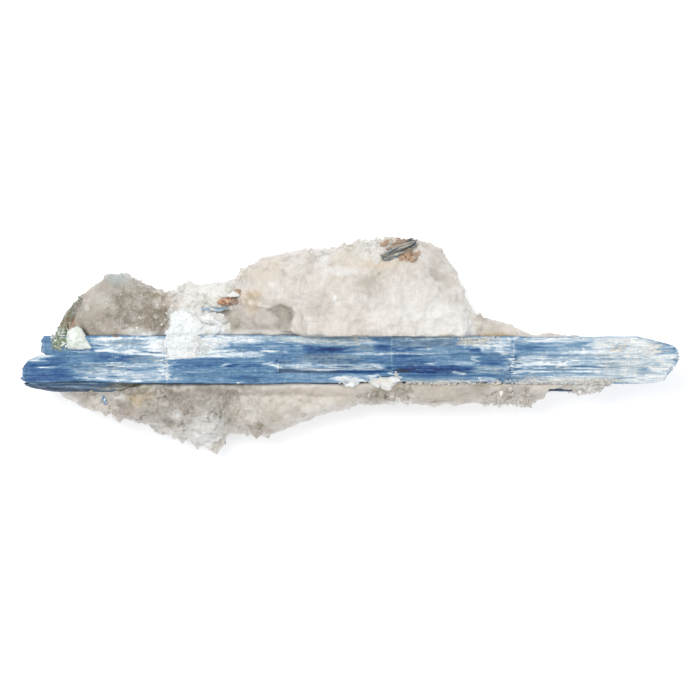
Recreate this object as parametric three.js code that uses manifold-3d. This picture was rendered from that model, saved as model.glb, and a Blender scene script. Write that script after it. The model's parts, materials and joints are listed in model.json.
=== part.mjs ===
// A long flat bundle of blue kyanite laths grown in a block of milky and smoky quartz.
// Millimetres. +X runs along the laths, +Y goes across them towards the big quartz block, +Z is up.
// The group is moved at the end so that the origin is the middle of its underside.
import * as THREE from 'three';
import { ConvexGeometry } from 'three/addons/geometries/ConvexGeometry.js';
import { mergeVertices } from 'three/addons/utils/BufferGeometryUtils.js';
import Module from 'manifold-3d';

// Driving dimensions.
const LATH_FLOOR = 35.3; // underside of the lath bundle
const LATH_TOP = 45.8; // its mean top face
const BUNDLE_NORTH = 4.3; // far edge of the bundle
const BUNDLE_SOUTH = -17.5; // near edge of the bundle
const LANE_SEAM = -4.6; // seam between the far and the near row of laths
const BLOCK_TOP = 51.5; // crown of the big quartz block, before its rounding
const GAP = 0.3; // clear space between neighbouring crystals
const CHAMFER = 0.4; // worn edge of a lath
const SKY = 70; // any height above the whole object

// Seeded jitter, so that every build gives the same stone.
let seed = 20261;
function jitter(amount) {
  seed = (seed * 1103515245 + 12345) % 2147483648;
  return (seed / 1073741824 - 1) * amount;
}

const wasm = await Module();
wasm.setup();

function toSolid(geometry) {
  const bare = geometry.clone();
  bare.deleteAttribute('normal');
  bare.deleteAttribute('uv');
  const merged = mergeVertices(bare, 1e-4);
  return new wasm.Manifold(new wasm.Mesh({
    numProp: 3,
    vertProperties: merged.attributes.position.array,
    triVerts: new Uint32Array(merged.index.array),
  }));
}

function toGeometry(solid) {
  const mesh = solid.getMesh();
  const geometry = new THREE.BufferGeometry();
  geometry.setAttribute('position', new THREE.BufferAttribute(mesh.vertProperties, 3));
  geometry.setIndex(new THREE.BufferAttribute(mesh.triVerts, 1));
  return geometry;
}

function joined(geometries) {
  return geometries.map(toSolid).reduce((whole, part) => whole.add(part));
}

// Moves an outline point towards the middle of its outline by a fixed distance.
function inset(outline, distance) {
  const middle = new THREE.Vector2();
  for (const [x, y] of outline) middle.add(new THREE.Vector2(x, y));
  middle.divideScalar(outline.length);
  return outline.map(([x, y]) => {
    const arm = new THREE.Vector2(x, y).sub(middle);
    arm.setLength(Math.max(arm.length() - distance, 0.5));
    return [middle.x + arm.x, middle.y + arm.y];
  });
}

// One lump of massive quartz: a faceted hull through its plan outline at the waist, with
// shoulders that pull in towards a top and a foot.
function boulder(outline, { foot, waist, top, footInset = 10, topInset = 9, rough = 0.7 }) {
  const rings = [
    [foot, footInset, 0],
    [foot + 0.35 * (waist - foot), 0.35 * footInset, rough],
    [waist, 0, rough * 0.4],
    [waist + 0.6 * (top - waist), 0.3 * topInset, rough],
    [top, topInset, rough],
  ];
  const points = [];
  for (const [height, pull, shake] of rings) {
    for (const [x, y] of inset(outline, pull)) {
      points.push(new THREE.Vector3(x + jitter(shake), y + jitter(shake), height + jitter(shake)));
    }
  }
  return new ConvexGeometry(points);
}

// A rounded lump of quartz about a centre.
function lump([x, y, z], [rx, ry, rz], rough = 0.12) {
  const ball = mergeVertices(new THREE.IcosahedronGeometry(1, 1).deleteAttribute('normal').deleteAttribute('uv'));
  const points = [];
  const place = ball.attributes.position;
  for (let i = 0; i < place.count; i += 1) {
    const swell = 1 + jitter(rough);
    points.push(new THREE.Vector3(
      x + rx * swell * place.getX(i),
      y + ry * swell * place.getY(i),
      z + rz * swell * place.getZ(i),
    ));
  }
  return new ConvexGeometry(points);
}

// A six-sided quartz crystal with a pointed end, from its root towards a heading.
function quartzPoint(root, heading, radius, length) {
  const along = new THREE.Vector3(...heading).normalize();
  const turn = new THREE.Quaternion().setFromUnitVectors(new THREE.Vector3(0, 0, 1), along);
  const points = [new THREE.Vector3(jitter(0.15 * radius), jitter(0.15 * radius), length)];
  for (let side = 0; side < 6; side += 1) {
    const angle = side * Math.PI / 3 + 0.3;
    const reach = radius * (1 + jitter(0.15));
    const shoulder = length - radius * (1.1 + jitter(0.35));
    points.push(new THREE.Vector3(reach * Math.cos(angle), reach * Math.sin(angle), shoulder));
    points.push(new THREE.Vector3(reach * Math.cos(angle), reach * Math.sin(angle), 0));
  }
  for (const point of points) point.applyQuaternion(turn).add(new THREE.Vector3(...root));
  return new ConvexGeometry(points);
}

// A flat lath: its convex plan outline between two heights, with worn edges.
function lath(outline, floor, top) {
  const points = [];
  const rings = [[floor, CHAMFER], [floor + CHAMFER, 0], [top - CHAMFER, 0], [top, CHAMFER]];
  for (const [height, pull] of rings) {
    for (const [x, y] of inset(outline, pull)) points.push(new THREE.Vector3(x, y, height));
  }
  return new ConvexGeometry(points);
}

// The space a convex piece needs around it, so that it never touches what holds it.
function clearance(geometry) {
  const place = geometry.attributes.position;
  const points = [];
  for (let i = 0; i < place.count; i += 1) {
    for (let corner = 0; corner < 8; corner += 1) {
      points.push(new THREE.Vector3(
        place.getX(i) + (corner & 1 ? GAP : -GAP),
        place.getY(i) + (corner & 2 ? GAP : -GAP),
        place.getZ(i) + (corner & 4 ? GAP : -GAP),
      ));
    }
  }
  return new ConvexGeometry(points);
}

// Quartz: the lumps that grew together, from the far side round to the near side.
const quartzLumps = [
  // the big block: left ridge, crown, right shoulder, and the low ground in front of the ridge
  boulder(
    [[-53, 21], [-52, 35], [-45.5, 38], [-27, 43], [-12, 44.5], [-10, 24], [-18, 13], [-46, 13]],
    { foot: 7, waist: 28, top: 48, footInset: 9, topInset: 10, rough: 1 },
  ),
  boulder(
    [[-31, 22], [-29, 36], [-24, 43.3], [-3, 45.5], [21, 48.5], [30, 46], [34, 24], [32, -14], [-24, -14],
      [-29, 4]],
    { foot: 0, waist: 26, top: BLOCK_TOP, footInset: 9, topInset: 11, rough: 1 },
  ),
  boulder(
    [[8, 44], [21, 49], [31, 49.3], [40.5, 44.7], [48.7, 36.5], [58, 15], [60.5, 4.5], [59, -12], [14, -12]],
    { foot: 2.5, waist: 25, top: BLOCK_TOP - 1.4, footInset: 13, topInset: 12, rough: 1 },
  ),
  boulder(
    [[-53, 24], [-51, -12], [-22, -14], [-20, 24]],
    { foot: 9, waist: 27, top: 43, footInset: 6, topInset: 3 },
  ),
  lump([-37, 10, 39], [13.5, 8.5, 9]),
  lump([-48, 21, 38], [7, 8, 8]),
  lump([2, 22, 44], [24, 17, 8.6], 0.05),
  lump([38, 20, 41], [16, 17, 9.6], 0.05),
  lump([-33, 33, 39], [13, 8, 10], 0.08),
  lump([10, 38, 20], [24, 11, 15], 0.06),
  lump([34, 29, 17], [17, 15, 14], 0.06),
  lump([-30, 24, 18], [18, 16, 13], 0.06),
  // the saddle between the block and the grey lobe
  boulder(
    [[-90, 2], [-87.5, 21], [-82, 25], [-73, 27], [-60, 27.5], [-47, 28], [-40, 20], [-40, -12], [-90, -12]],
    { foot: 6, waist: 30, top: 44, footInset: 12, topInset: 6, rough: 1 },
  ),
  lump([-70, 10, 14], [17, 16, 12], 0.08),
  // the grey lobe
  boulder(
    [[-138, 3], [-134.5, 12.5], [-129, 20], [-122, 27.5], [-115, 32.5], [-109.5, 34.5], [-104.5, 33],
      [-98, 29], [-89.5, 26.5], [-83, 19], [-82.5, 7], [-82.5, -12], [-136, -12]],
    { foot: 0, waist: 24, top: 45, footInset: 14, topInset: 11, rough: 0.9 },
  ),
  lump([-110, 14, 36], [17, 13, 11], 0.05),
  lump([-124, 8, 22], [12, 14, 14], 0.08),
  // the wedge at its right foot
  boulder(
    [[50, 16], [58, 15], [62, 12], [66, 12.5], [74.5, 8.5], [84.5, 4.5], [86, -6], [50, -12]],
    { foot: 20, waist: 34, top: 43.5, footInset: 8, topInset: 5 },
  ),
  // the spine under the laths
  boulder(
    [[-138, 3], [-60, 6], [60, 6], [112, 3], [122, -4], [122, -17], [60, -20], [-60, -20], [-137, -18]],
    { foot: 14, waist: 31, top: 37, footInset: 40, topInset: 3 },
  ),
  lump([64, -6, 27], [26, 10, 8], 0.08),
  lump([-95, -10, 18], [26, 12, 12], 0.08),
  lump([-2, -12, 13], [30, 13, 11], 0.06),
  // the lower mass on the near side, left to right
  boulder(
    [[-137, -19], [-133.5, -23.5], [-120.5, -27.5], [-113.5, -32], [-103, -34.5], [-92, -36.5], [-84, -34],
      [-84, -8], [-136, -8]],
    { foot: 10, waist: 26, top: 38, footInset: 12, topInset: 8, rough: 0.9 },
  ),
  boulder(
    [[-101, -33], [-90.5, -38.5], [-81, -43], [-74, -46.5], [-66, -48], [-59.5, -45], [-56, -40], [-50, -34],
      [-50, -5], [-101, -5]],
    { foot: 1.5, waist: 17, top: 38.5, footInset: 11, topInset: 14, rough: 0.9 },
  ),
  boulder(
    [[-58, -37], [-48, -42], [-40, -42.5], [-36, -39], [-24.5, -33.5], [-10.5, -27.5], [4.5, -25.5],
      [4.5, -5], [-58, -5]],
    { foot: 2, waist: 22, top: 38, footInset: 10, topInset: 9, rough: 0.9 },
  ),
  // the thin ledges that carry the right half of the laths
  boulder(
    [[0, -24], [8, -26], [29, -25.5], [60.5, -25.3], [66, -24], [92, -20], [92, -8], [0, -8]],
    { foot: 19, waist: 31, top: 37.5, footInset: 6, topInset: 3 },
  ),
  boulder(
    [[60, -24.5], [70.5, -26], [81, -27.5], [88.5, -25], [92, -20.5], [92, -10], [60, -10]],
    { foot: 22, waist: 31, top: 36.5, footInset: 5, topInset: 4 },
  ),
  boulder(
    [[88, -20], [96, -20.6], [105, -20.6], [108.5, -22.3], [117.5, -20], [122.5, -18], [121, -8], [88, -8]],
    { foot: 25, waist: 32.5, top: 36.8, footInset: 4, topInset: 2 },
  ),
  // knobs along the far outline
  lump([4.5, 44.5, 37], [4.5, 4, 6]),
  lump([18.5, 46.5, 33], [5, 5, 8]),
  lump([37, 42, 31], [7, 4.5, 9]),
  lump([-19, 41, 33], [10, 4.5, 9]),
  lump([-74.5, 25.5, 32], [5.5, 5.3, 7]),
  lump([-65, 24.5, 33], [5.5, 4.5, 7]),
  lump([-56, 25, 34], [5, 5.5, 8]),
  lump([-93, 20, 34], [8, 7, 8]),
  lump([-113, 27, 32], [8, 7.5, 9]),
  lump([62.5, 8, 36], [3.5, 5.5, 6]),
];

const quartzPoints = [
  quartzPoint([-114, -28, 27], [-0.1, -1, -0.15], 2.2, 5.5),
  quartzPoint([-108, -29, 27], [0, -1, -0.2], 3.4, 7.4),
  quartzPoint([-101, -30, 26], [0.15, -1, -0.2], 2.8, 6.2),
  quartzPoint([-95, -31, 25], [-0.1, -1, -0.2], 2.4, 6.5),
  quartzPoint([-87, -33, 24], [-0.2, -1, -0.25], 3, 8.5),
  quartzPoint([-79, -37, 22], [0.1, -1, -0.2], 3.2, 9.2),
  quartzPoint([-72, -40, 20], [0.15, -1, -0.1], 4, 9),
  quartzPoint([-64, -41, 19], [0.1, -1, -0.1], 3.6, 10.3),
  quartzPoint([-57, -36, 20], [-0.3, -1, 0.1], 3, 8),
  quartzPoint([-45, -35, 21], [-0.35, -1, 0.1], 3.6, 8.5),
  quartzPoint([-41, -34, 22], [0.3, -1, 0.05], 3.4, 10),
  quartzPoint([-31, -32, 23], [0.1, -1, 0], 2.2, 6),
  quartzPoint([7, -22, 30], [0.2, -1, -0.1], 2.4, 5.4),
  quartzPoint([25.5, -22, 30], [0.2, -1, -0.25], 2.1, 6.6),
  quartzPoint([64, -22, 29], [0.05, -1, -0.2], 2, 6.4),
  quartzPoint([78, -22, 29], [0.1, -1, -0.1], 3, 6.8),
];

// The bundle lies in a trough that is open to the sky.
const trough = lath(
  [
    [-160, BUNDLE_NORTH + GAP],
    [160, BUNDLE_NORTH + GAP],
    [160, BUNDLE_SOUTH - 1],
    [-160, BUNDLE_SOUTH],
  ],
  LATH_FLOOR - GAP,
  SKY,
);
const rawQuartz = joined([...quartzLumps, ...quartzPoints]).subtract(toSolid(trough));
const rawQuartzMesh = new THREE.Mesh(
  toGeometry(rawQuartz),
  new THREE.MeshBasicMaterial({ side: THREE.DoubleSide }),
);

// Height of the quartz surface above a point of the plan.
function quartzHeight(x, y) {
  const ray = new THREE.Raycaster(new THREE.Vector3(x, y, SKY), new THREE.Vector3(0, 0, -1));
  const [hit] = ray.intersectObject(rawQuartzMesh);
  return hit ? hit.point.z : LATH_FLOOR - 5;
}

// A mineral patch that is set into the quartz surface: it stands proud by its lift and is
// rooted below by its depth.
function setIn(outline, lift, depth) {
  const points = [];
  for (const [x, y] of outline) points.push(new THREE.Vector3(x, y, quartzHeight(x, y) - depth));
  for (const [x, y] of inset(outline, 0.8)) {
    points.push(new THREE.Vector3(x, y, quartzHeight(x, y) + lift + jitter(0.2)));
  }
  return new ConvexGeometry(points);
}

const BLUE = 0x5a86b8;
const DEEP_BLUE = 0x2c4a80;
const PALE_BLUE = 0xa9c0d8;
const SLATE_BLUE = 0x3a566e;

function kyanite(color) {
  return new THREE.MeshStandardMaterial({ color, roughness: 0.38, metalness: 0 });
}

const chips = {
  quartz: new THREE.MeshStandardMaterial({ color: 0xddd6cd, roughness: 0.3, metalness: 0 }),
  crust: new THREE.MeshStandardMaterial({ color: 0xf1f1ee, roughness: 0.7, metalness: 0 }),
  brownMica: new THREE.MeshStandardMaterial({ color: 0x9a6a45, roughness: 0.35, metalness: 0 }),
  chlorite: new THREE.MeshStandardMaterial({ color: 0x6f7d68, roughness: 0.5, metalness: 0 }),
  greenCrystal: new THREE.MeshStandardMaterial({ color: 0xdbe6d8, roughness: 0.3, metalness: 0 }),
};

// Laths of the bundle: plan outline, underside, top face, colour.
const laths = {
  lath_upper_left: [
    [[-143, BUNDLE_NORTH], [-85.6, BUNDLE_NORTH], [-85.6, LANE_SEAM], [-142, -4.3], [-143.6, -3]],
    LATH_FLOOR + 1, LATH_TOP - 0.6, BLUE,
  ],
  lath_lower_left: [
    [[-144, -4.7], [-85.3, -5], [-85.3, -17.4], [-150.5, -16.9], [-152.5, -16], [-153.2, -14], [-153, -11],
      [-149.5, -7]],
    LATH_FLOOR, LATH_TOP, PALE_BLUE,
  ],
  lath_upper_middle: [
    [[-67.5, BUNDLE_NORTH], [19.2, BUNDLE_NORTH], [19.2, -8.2], [-33, -8.2], [-67.5, -5]],
    LATH_FLOOR, LATH_TOP - 0.1, BLUE,
  ],
  lath_lower_middle: [
    [[-84.9, -5.3], [-33.3, -8.5], [-33.3, -12.5], [-84.9, -12.5]],
    LATH_FLOOR, LATH_TOP + 0.8, DEEP_BLUE,
  ],
  lath_lower_strip: [
    [[-84.9, -12.9], [18, -12.9], [18, -15], [-5, BUNDLE_SOUTH], [-84.9, BUNDLE_SOUTH]],
    LATH_FLOOR, LATH_TOP + 0.5, BLUE,
  ],
  lath_thin_pale: [
    [[-32.9, -8.6], [19, -8.6], [19, -10.7], [-32.9, -10.7]],
    LATH_FLOOR, LATH_TOP - 0.6, PALE_BLUE,
  ],
  lath_thin_navy: [
    [[-32.9, -11.1], [18, -11.1], [18, -12.5], [-32.9, -12.5]],
    LATH_FLOOR, LATH_TOP - 1.4, DEEP_BLUE,
  ],
  lath_upper_centre: [
    [[19.6, BUNDLE_NORTH], [76.2, BUNDLE_NORTH], [76.2, LANE_SEAM + 0.3], [19.6, LANE_SEAM + 0.3]],
    LATH_FLOOR, LATH_TOP - 0.4, DEEP_BLUE,
  ],
  lath_lower_centre: [
    [[19.6, LANE_SEAM - 0.1], [76.2, LANE_SEAM - 0.1], [71.5, -17.3], [27, BUNDLE_SOUTH], [19.6, -14.6]],
    LATH_FLOOR, LATH_TOP + 0.1, BLUE,
  ],
  lath_upper_right: [
    [[76.6, BUNDLE_NORTH], [134, BUNDLE_NORTH], [142.5, 2], [150.5, 0], [152.4, -2], [152.8, -4],
      [76.6, LANE_SEAM + 0.2]],
    LATH_FLOOR + 1.2, LATH_TOP - 0.2, BLUE,
  ],
  lath_middle_right: [
    [[76.7, LANE_SEAM - 0.1], [153.2, LANE_SEAM - 0.1], [153.2, -5.5], [152.5, -7], [151.5, -9.8],
      [75, -9.8]],
    LATH_FLOOR, LATH_TOP - 0.6, PALE_BLUE,
  ],
  lath_lower_right: [
    [[74.8, -10.2], [150, -10.2], [149.5, -11.5], [147.5, -14.5], [146, -16.5], [142.5, -17.5], [133, -18],
      [72.1, -17.7]],
    LATH_FLOOR + 0.7, LATH_TOP - 0.9, PALE_BLUE,
  ],
};

// The dark lath that leans against the near side of the bundle at its left end.
function sideLath() {
  const sections = [
    [-152, [[-18, 42.5], [-18.6, 39], [-18, 36.5]]],
    [-146, [[-17.8, 44], [-20, 40], [-19.5, 35], [-17.8, 34.5]]],
    [-134, [[-17.9, 44.3], [-21.3, 39.5], [-20.6, 34.5], [-17.9, 33.8]]],
    [-110, [[-17.9, 44.1], [-21.4, 39.5], [-20.6, 34.5], [-17.9, 33.8]]],
    [-98, [[-17.9, 42.5], [-20, 39], [-19.4, 35.5], [-17.9, 34.8]]],
  ];
  return new ConvexGeometry(
    sections.flatMap(([x, ring]) => ring.map(([y, z]) => new THREE.Vector3(x, y, z))),
  );
}

// A blade of the spray: a thin lath that is rolled to the slope and laid on the quartz.
function sprayBlade([x, y], length, width, heading, lift) {
  const ground = quartzHeight(x, y);
  const points = [];
  for (const [along, across] of [[-0.5, -0.1], [-0.42, 0.5], [0.45, 0.45], [0.5, -0.3], [-0.3, -0.5]]) {
    const px = x + length * along * Math.cos(heading) - width * across * Math.sin(heading);
    const py = y + length * along * Math.sin(heading) + width * across * Math.cos(heading);
    const rest = THREE.MathUtils.clamp(quartzHeight(px, py), ground - 4, ground + 1.5);
    points.push(new THREE.Vector3(px, py, rest + lift));
    points.push(new THREE.Vector3(px, py, rest - 2.2));
  }
  return new ConvexGeometry(points);
}

const crustBreak = [
  lath(
    [[-85.1, 4.2], [-85.1, LANE_SEAM], [-67.9, LANE_SEAM], [-67.9, 4.2], [-68.5, 6.5], [-74, 12], [-81, 13]],
    LATH_FLOOR + 0.2,
    LATH_TOP + 1,
  ),
  boulder(
    [[-84, 5], [-83, 13.5], [-79, 16], [-76.5, 15], [-72, 11.5], [-67, 9], [-69, 4]],
    { foot: 40, waist: 44, top: 47.6, footInset: 1.5, topInset: 2, rough: 0.3 },
  ),
  lump([-66, 7, 44.5], [6, 2, 2.4], 0.08),
];
const crustLow = boulder(
  [[-4, -18.2], [18.8, -15.7], [26, -18.3], [24, -20.5], [12, -21], [4, -20.8], [-3, -19.6]],
  { foot: 34.5, waist: 41, top: 46.3, footInset: 0.8, topInset: 0.6, rough: 0 },
);

// Pieces that are set into the quartz: convex parts, joined where they grew together.
const settled = {
  crust_break: [crustBreak, chips.crust],
  crust_near_edge: [[crustLow], chips.crust],
  kyanite_side_lath: [[sideLath()], kyanite(SLATE_BLUE)],
  kyanite_under_right: [
    [lath([[91.5, -15], [106.5, -15], [106.5, -21.1], [99, -21.3], [92.5, -21]], 30.6, 33.4)],
    kyanite(SLATE_BLUE),
  ],
  kyanite_saddle_lath: [
    [setIn([[-73.6, 16], [-70, 17.8], [-56.4, 18.6], [-55.6, 17], [-58, 15.4], [-68, 14.8]], 1, 3)],
    kyanite(BLUE),
  ],
  kyanite_low_sliver: [
    [setIn([[-116, -23.6], [-114.8, -22.6], [-112.9, -26.6], [-114.4, -27.6]], 1.2, 3)],
    kyanite(BLUE),
  ],
  kyanite_spray: [
    [
      sprayBlade([20, 42.6], 15, 3.4, 0.5, 1.9),
      sprayBlade([22.5, 44.6], 17, 3, 0.42, 1.5),
      sprayBlade([24, 46.6], 14, 2.4, 0.3, 1.3),
    ],
    kyanite(SLATE_BLUE),
  ],
  mica_book_upper: [
    [setIn([[15.4, 48], [14.6, 46.8], [15.8, 46.3], [18.4, 49], [17.6, 49.6]], 1.1, 2.5)],
    chips.brownMica,
  ],
  mica_book_lower: [
    [setIn([[26, 41.2], [30.8, 42], [33, 44], [31, 40.2], [28, 38.6]], 1.1, 2.5)],
    chips.brownMica,
  ],
  mica_book_saddle: [
    [setIn([[-62.4, 20], [-59, 22], [-54.5, 21.8], [-52, 20.4], [-56, 19.2], [-61, 19.3]], 1.1, 2.5)],
    chips.brownMica,
  ],
  crust_saddle_chip: [
    [setIn([[-58.5, 22.7], [-52, 26.6], [-50.4, 25.6], [-51.3, 22.2], [-54.5, 22.4]], 1.4, 2.5)],
    chips.crust,
  ],
  chlorite_patch: [
    [
      setIn([[-138.2, 4.6], [-136.4, 9], [-133, 14], [-131.4, 12], [-132, 5], [-134, 4.7]], 1, 3),
      setIn([[-134, 11], [-131, 18], [-127.5, 21.3], [-126.8, 19], [-130.4, 11.6]], 1, 3),
    ],
    chips.chlorite,
  ],
  green_crystal: [
    [setIn([[-131.4, 4.6], [-130.8, 6.2], [-127.6, 8.4], [-125, 7.8], [-121.8, 4.6]], 2, 3)],
    chips.greenCrystal,
  ],
};

const cluster = new THREE.Group();
function place(name, geometry, material) {
  const mesh = new THREE.Mesh(geometry, material);
  mesh.name = name;
  cluster.add(mesh);
}

let quartz = rawQuartz;
for (const [name, [parts, material]] of Object.entries(settled)) {
  for (const part of parts) quartz = quartz.subtract(toSolid(clearance(part)));
  place(name, toGeometry(joined(parts)), material);
}
// Crumbs that the cuts leave loose are dropped.
const [matrix] = quartz.decompose().sort((a, b) => b.volume() - a.volume());
place('quartz_matrix', toGeometry(matrix), chips.quartz);
for (const [name, [outline, floor, top, color]] of Object.entries(laths)) {
  place(name, lath(outline, floor, top), kyanite(color));
}

const box = new THREE.Box3().setFromObject(cluster);
cluster.position.set(-(box.min.x + box.max.x) / 2, -(box.min.y + box.max.y) / 2, -box.min.z);

export default cluster;
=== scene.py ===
"""A flat bundle of blue kyanite laths in milky and smoky quartz, lying on a pale floor.

Lengths in the tables and in the mesh code are millimetres in the object's own frame: +X along
the laths, +Y across them towards the big quartz block, +Z up. A mesh turns into metres when it
is handed to Blender.
"""

import json
import math

import bmesh
import bpy
import numpy as np
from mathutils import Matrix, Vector

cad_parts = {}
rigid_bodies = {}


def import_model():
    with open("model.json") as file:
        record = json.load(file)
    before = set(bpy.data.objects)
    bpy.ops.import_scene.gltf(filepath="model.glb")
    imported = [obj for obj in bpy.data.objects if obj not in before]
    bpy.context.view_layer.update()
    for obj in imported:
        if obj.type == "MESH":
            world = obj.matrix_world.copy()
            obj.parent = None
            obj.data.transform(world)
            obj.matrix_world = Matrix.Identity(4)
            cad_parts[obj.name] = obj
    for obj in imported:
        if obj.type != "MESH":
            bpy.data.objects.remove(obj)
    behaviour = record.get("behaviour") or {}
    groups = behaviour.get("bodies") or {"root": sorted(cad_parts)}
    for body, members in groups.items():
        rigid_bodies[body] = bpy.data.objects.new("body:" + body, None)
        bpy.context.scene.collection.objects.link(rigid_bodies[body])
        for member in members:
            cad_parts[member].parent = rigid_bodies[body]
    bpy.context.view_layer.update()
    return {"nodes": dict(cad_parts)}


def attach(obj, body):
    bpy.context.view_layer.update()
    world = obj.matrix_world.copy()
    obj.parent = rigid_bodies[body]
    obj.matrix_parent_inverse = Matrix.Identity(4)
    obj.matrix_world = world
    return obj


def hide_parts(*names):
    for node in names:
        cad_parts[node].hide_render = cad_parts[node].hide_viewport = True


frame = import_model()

bl_info = {
    "name": "Kyanite blade cluster",
    "version": (1, 0, 0),
    "blender": (4, 5, 0),
    "location": "View3D > Sidebar > Kyanite",
    "description": "Builds a kyanite and quartz specimen and its stage",
    "category": "Add Mesh",
}

MM = 0.001
BODY = "root"
LATHS = sorted(name for name in frame["nodes"] if name.startswith("lath_"))
# The trough that the laths lie in: its two walls, its floor and the laths' tops.
SOUTH_WALL, NORTH_WALL = -18.1, 4.6
TROUGH_FLOOR, LATH_TOPS = 35, 46.4
# Quartz above this height is part of a bank beside the laths.
BANK_FOOT = 34
# Laths that reach past these ends of the bundle end free.
FREE_WEST, FREE_EAST = -140, 149
# East of here the laths' far side stands free of the quartz block.
BLOCK_END = 81
# Loose grains and leaves lie only on ground at least this high.
LOOSE_GROUND = 30


# ---------------------------------------------------------------- repeatable noise

def corner_value(cell, salt):
    """A repeatable number from -1 to 1 for each corner of a whole-number lattice."""
    key = cell @ np.array([374761393, 668265263, 1274126177]) + salt * 1013904223
    mixed = (key & 0xFFFFFFFF).astype(np.uint32)
    for shift, factor in ((15, 2246822519), (13, 3266489917)):
        mixed = (mixed ^ (mixed >> np.uint32(shift))) * np.uint32(factor)
    mixed = mixed ^ (mixed >> np.uint32(16))
    return mixed / 2147483647.5 - 1.0


def noise(points, sizes, salt):
    """Smooth noise from -1 to 1; sizes are its wavelengths along X, Y and Z."""
    scaled = points / np.asarray(sizes, float)
    cell = np.floor(scaled).astype(np.int64)
    step = scaled - cell
    step = step * step * (3 - 2 * step)
    total = np.zeros(len(points))
    for corner in np.ndindex(2, 2, 2):
        weight = np.prod(np.where(corner, step, 1 - step), axis=-1)
        total += weight * corner_value(cell + np.array(corner), salt)
    return total


def bowls(points, size, salt, lean=0.35, spread=0.3):
    """Depth of many shallow bowls that meet in sharp ridges, as in shell-like fractures."""
    scaled = points / np.asarray(size, float)
    home = np.floor(scaled).astype(np.int64)
    lowest = np.full(len(points), np.inf)
    for offset in np.ndindex(3, 3, 3):
        cell = home + np.array(offset) - 1
        seed = cell + 0.5 + 0.45 * np.stack([corner_value(cell, salt + k) for k in (1, 2, 3)], -1)
        tilt = lean * np.stack([corner_value(cell, salt + k) for k in (4, 5, 6)], -1)
        arm = scaled - seed
        depth = (arm * arm).sum(-1) + (arm * tilt).sum(-1) + spread * corner_value(cell, salt + 7)
        lowest = np.minimum(lowest, depth)
    return lowest


def faceted(points, normals, size, salt, tilt=0.0):
    """How far each point stands from the mean plane of its cell, and how near a cell's rim it is.

    A tilt leans each plane over at random.
    """
    scaled = points / np.asarray(size, float)
    home = np.floor(scaled).astype(np.int64)
    first, second = np.full((2, len(points)), np.inf)
    owner = np.zeros_like(home)
    for offset in np.ndindex(3, 3, 3):
        cell = home + np.array(offset) - 1
        seed = cell + 0.5 + 0.45 * np.stack([corner_value(cell, salt + k) for k in (1, 2, 3)], -1)
        away = np.linalg.norm(scaled - seed, axis=-1)
        closer = away < first
        second = np.where(closer, first, np.minimum(second, away))
        owner[closer] = cell[closer]
        first = np.minimum(first, away)
    cells, group = np.unique(owner, axis=0, return_inverse=True)
    group = group.ravel()
    number = np.bincount(group)[:, None]
    centre, facing = (np.stack([np.bincount(group, values[:, k]) for k in range(3)], -1) / number
                      for values in (points, normals))
    facing = facing / np.maximum(np.linalg.norm(facing, axis=1, keepdims=True), 1e-6)
    facing = facing + tilt * np.stack([corner_value(cells, salt + k) for k in (4, 5, 6)], -1)
    facing = facing / np.maximum(np.linalg.norm(facing, axis=1, keepdims=True), 1e-6)
    stand = ((points - centre[group]) * facing[group]).sum(-1)
    return np.clip(stand, -2.4, 2.4)[:, None] * facing[group], second - first


def ease(value, start, end):
    """0 up to start, 1 from end, smooth between."""
    share = np.clip((value - start) / (end - start), 0, 1)
    return share * share * (3 - 2 * share)


def terraces(value, ramp=0.2):
    """Turns a smooth value into flat levels with short ramps; also says where the ramps are."""
    level = np.floor(value)
    rise = ease(value - level, 0.5 - ramp / 2, 0.5 + ramp / 2)
    return level + rise, 4 * rise * (1 - rise)


# ---------------------------------------------------------------- meshes

class Net:
    """Points and faces of one piece, gathered part by part."""

    def __init__(self):
        self.points, self.faces, self.marks = [], [], {}
        self.count = 0

    def add(self, points, faces, **marks):
        self.faces += [tuple(corner + self.count for corner in face) for face in faces]
        self.points.append(np.asarray(points, float))
        for name, values in marks.items():
            self.marks.setdefault(name, []).append(np.broadcast_to(values, len(points)))
        self.count += len(points)

    def piece(self, name, slot, nodes, material, smooth=True, crease=40):
        marks = {key: np.concatenate(parts) for key, parts in self.marks.items()}
        return make_piece(name, np.concatenate(self.points), self.faces, slot, nodes, material,
                          smooth, crease, **marks)


def make_piece(name, points, faces, slot, nodes, material, smooth=True, crease=40, **marks):
    """A piece of the specimen from points in millimetres, with its shader marks."""
    mesh = bpy.data.meshes.new(name)
    mesh.from_pydata((points * MM).tolist(), [], faces)
    mesh.validate()
    for key, values in marks.items():
        layer = mesh.attributes.new(key, "FLOAT", "POINT")
        layer.data.foreach_set("value", np.asarray(values, np.float32))
    if smooth:
        mesh.shade_smooth()
        mesh.set_sharp_from_angle(angle=math.radians(crease))
    else:
        mesh.shade_flat()
    mesh.materials.append(material)
    piece = bpy.data.objects.new(name, mesh)
    bpy.context.scene.collection.objects.link(piece)
    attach(piece, BODY)
    if nodes:
        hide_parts(*nodes)
    return piece


def points_of(mesh):
    """Points of a Blender mesh in millimetres."""
    points = np.empty(len(mesh.vertices) * 3)
    mesh.vertices.foreach_get("co", points)
    return points.reshape(-1, 3) / MM


def read_mesh(mesh):
    """Points in millimetres, edges and faces of a Blender mesh."""
    edges = np.empty(len(mesh.edges) * 2, np.int64)
    mesh.edges.foreach_get("vertices", edges)
    faces = [tuple(face.vertices) for face in mesh.polygons]
    return points_of(mesh), edges.reshape(-1, 2), faces


# Half the length and half the width of the plan that the ground map covers.
MAP_REACH = (180, 80)


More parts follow.
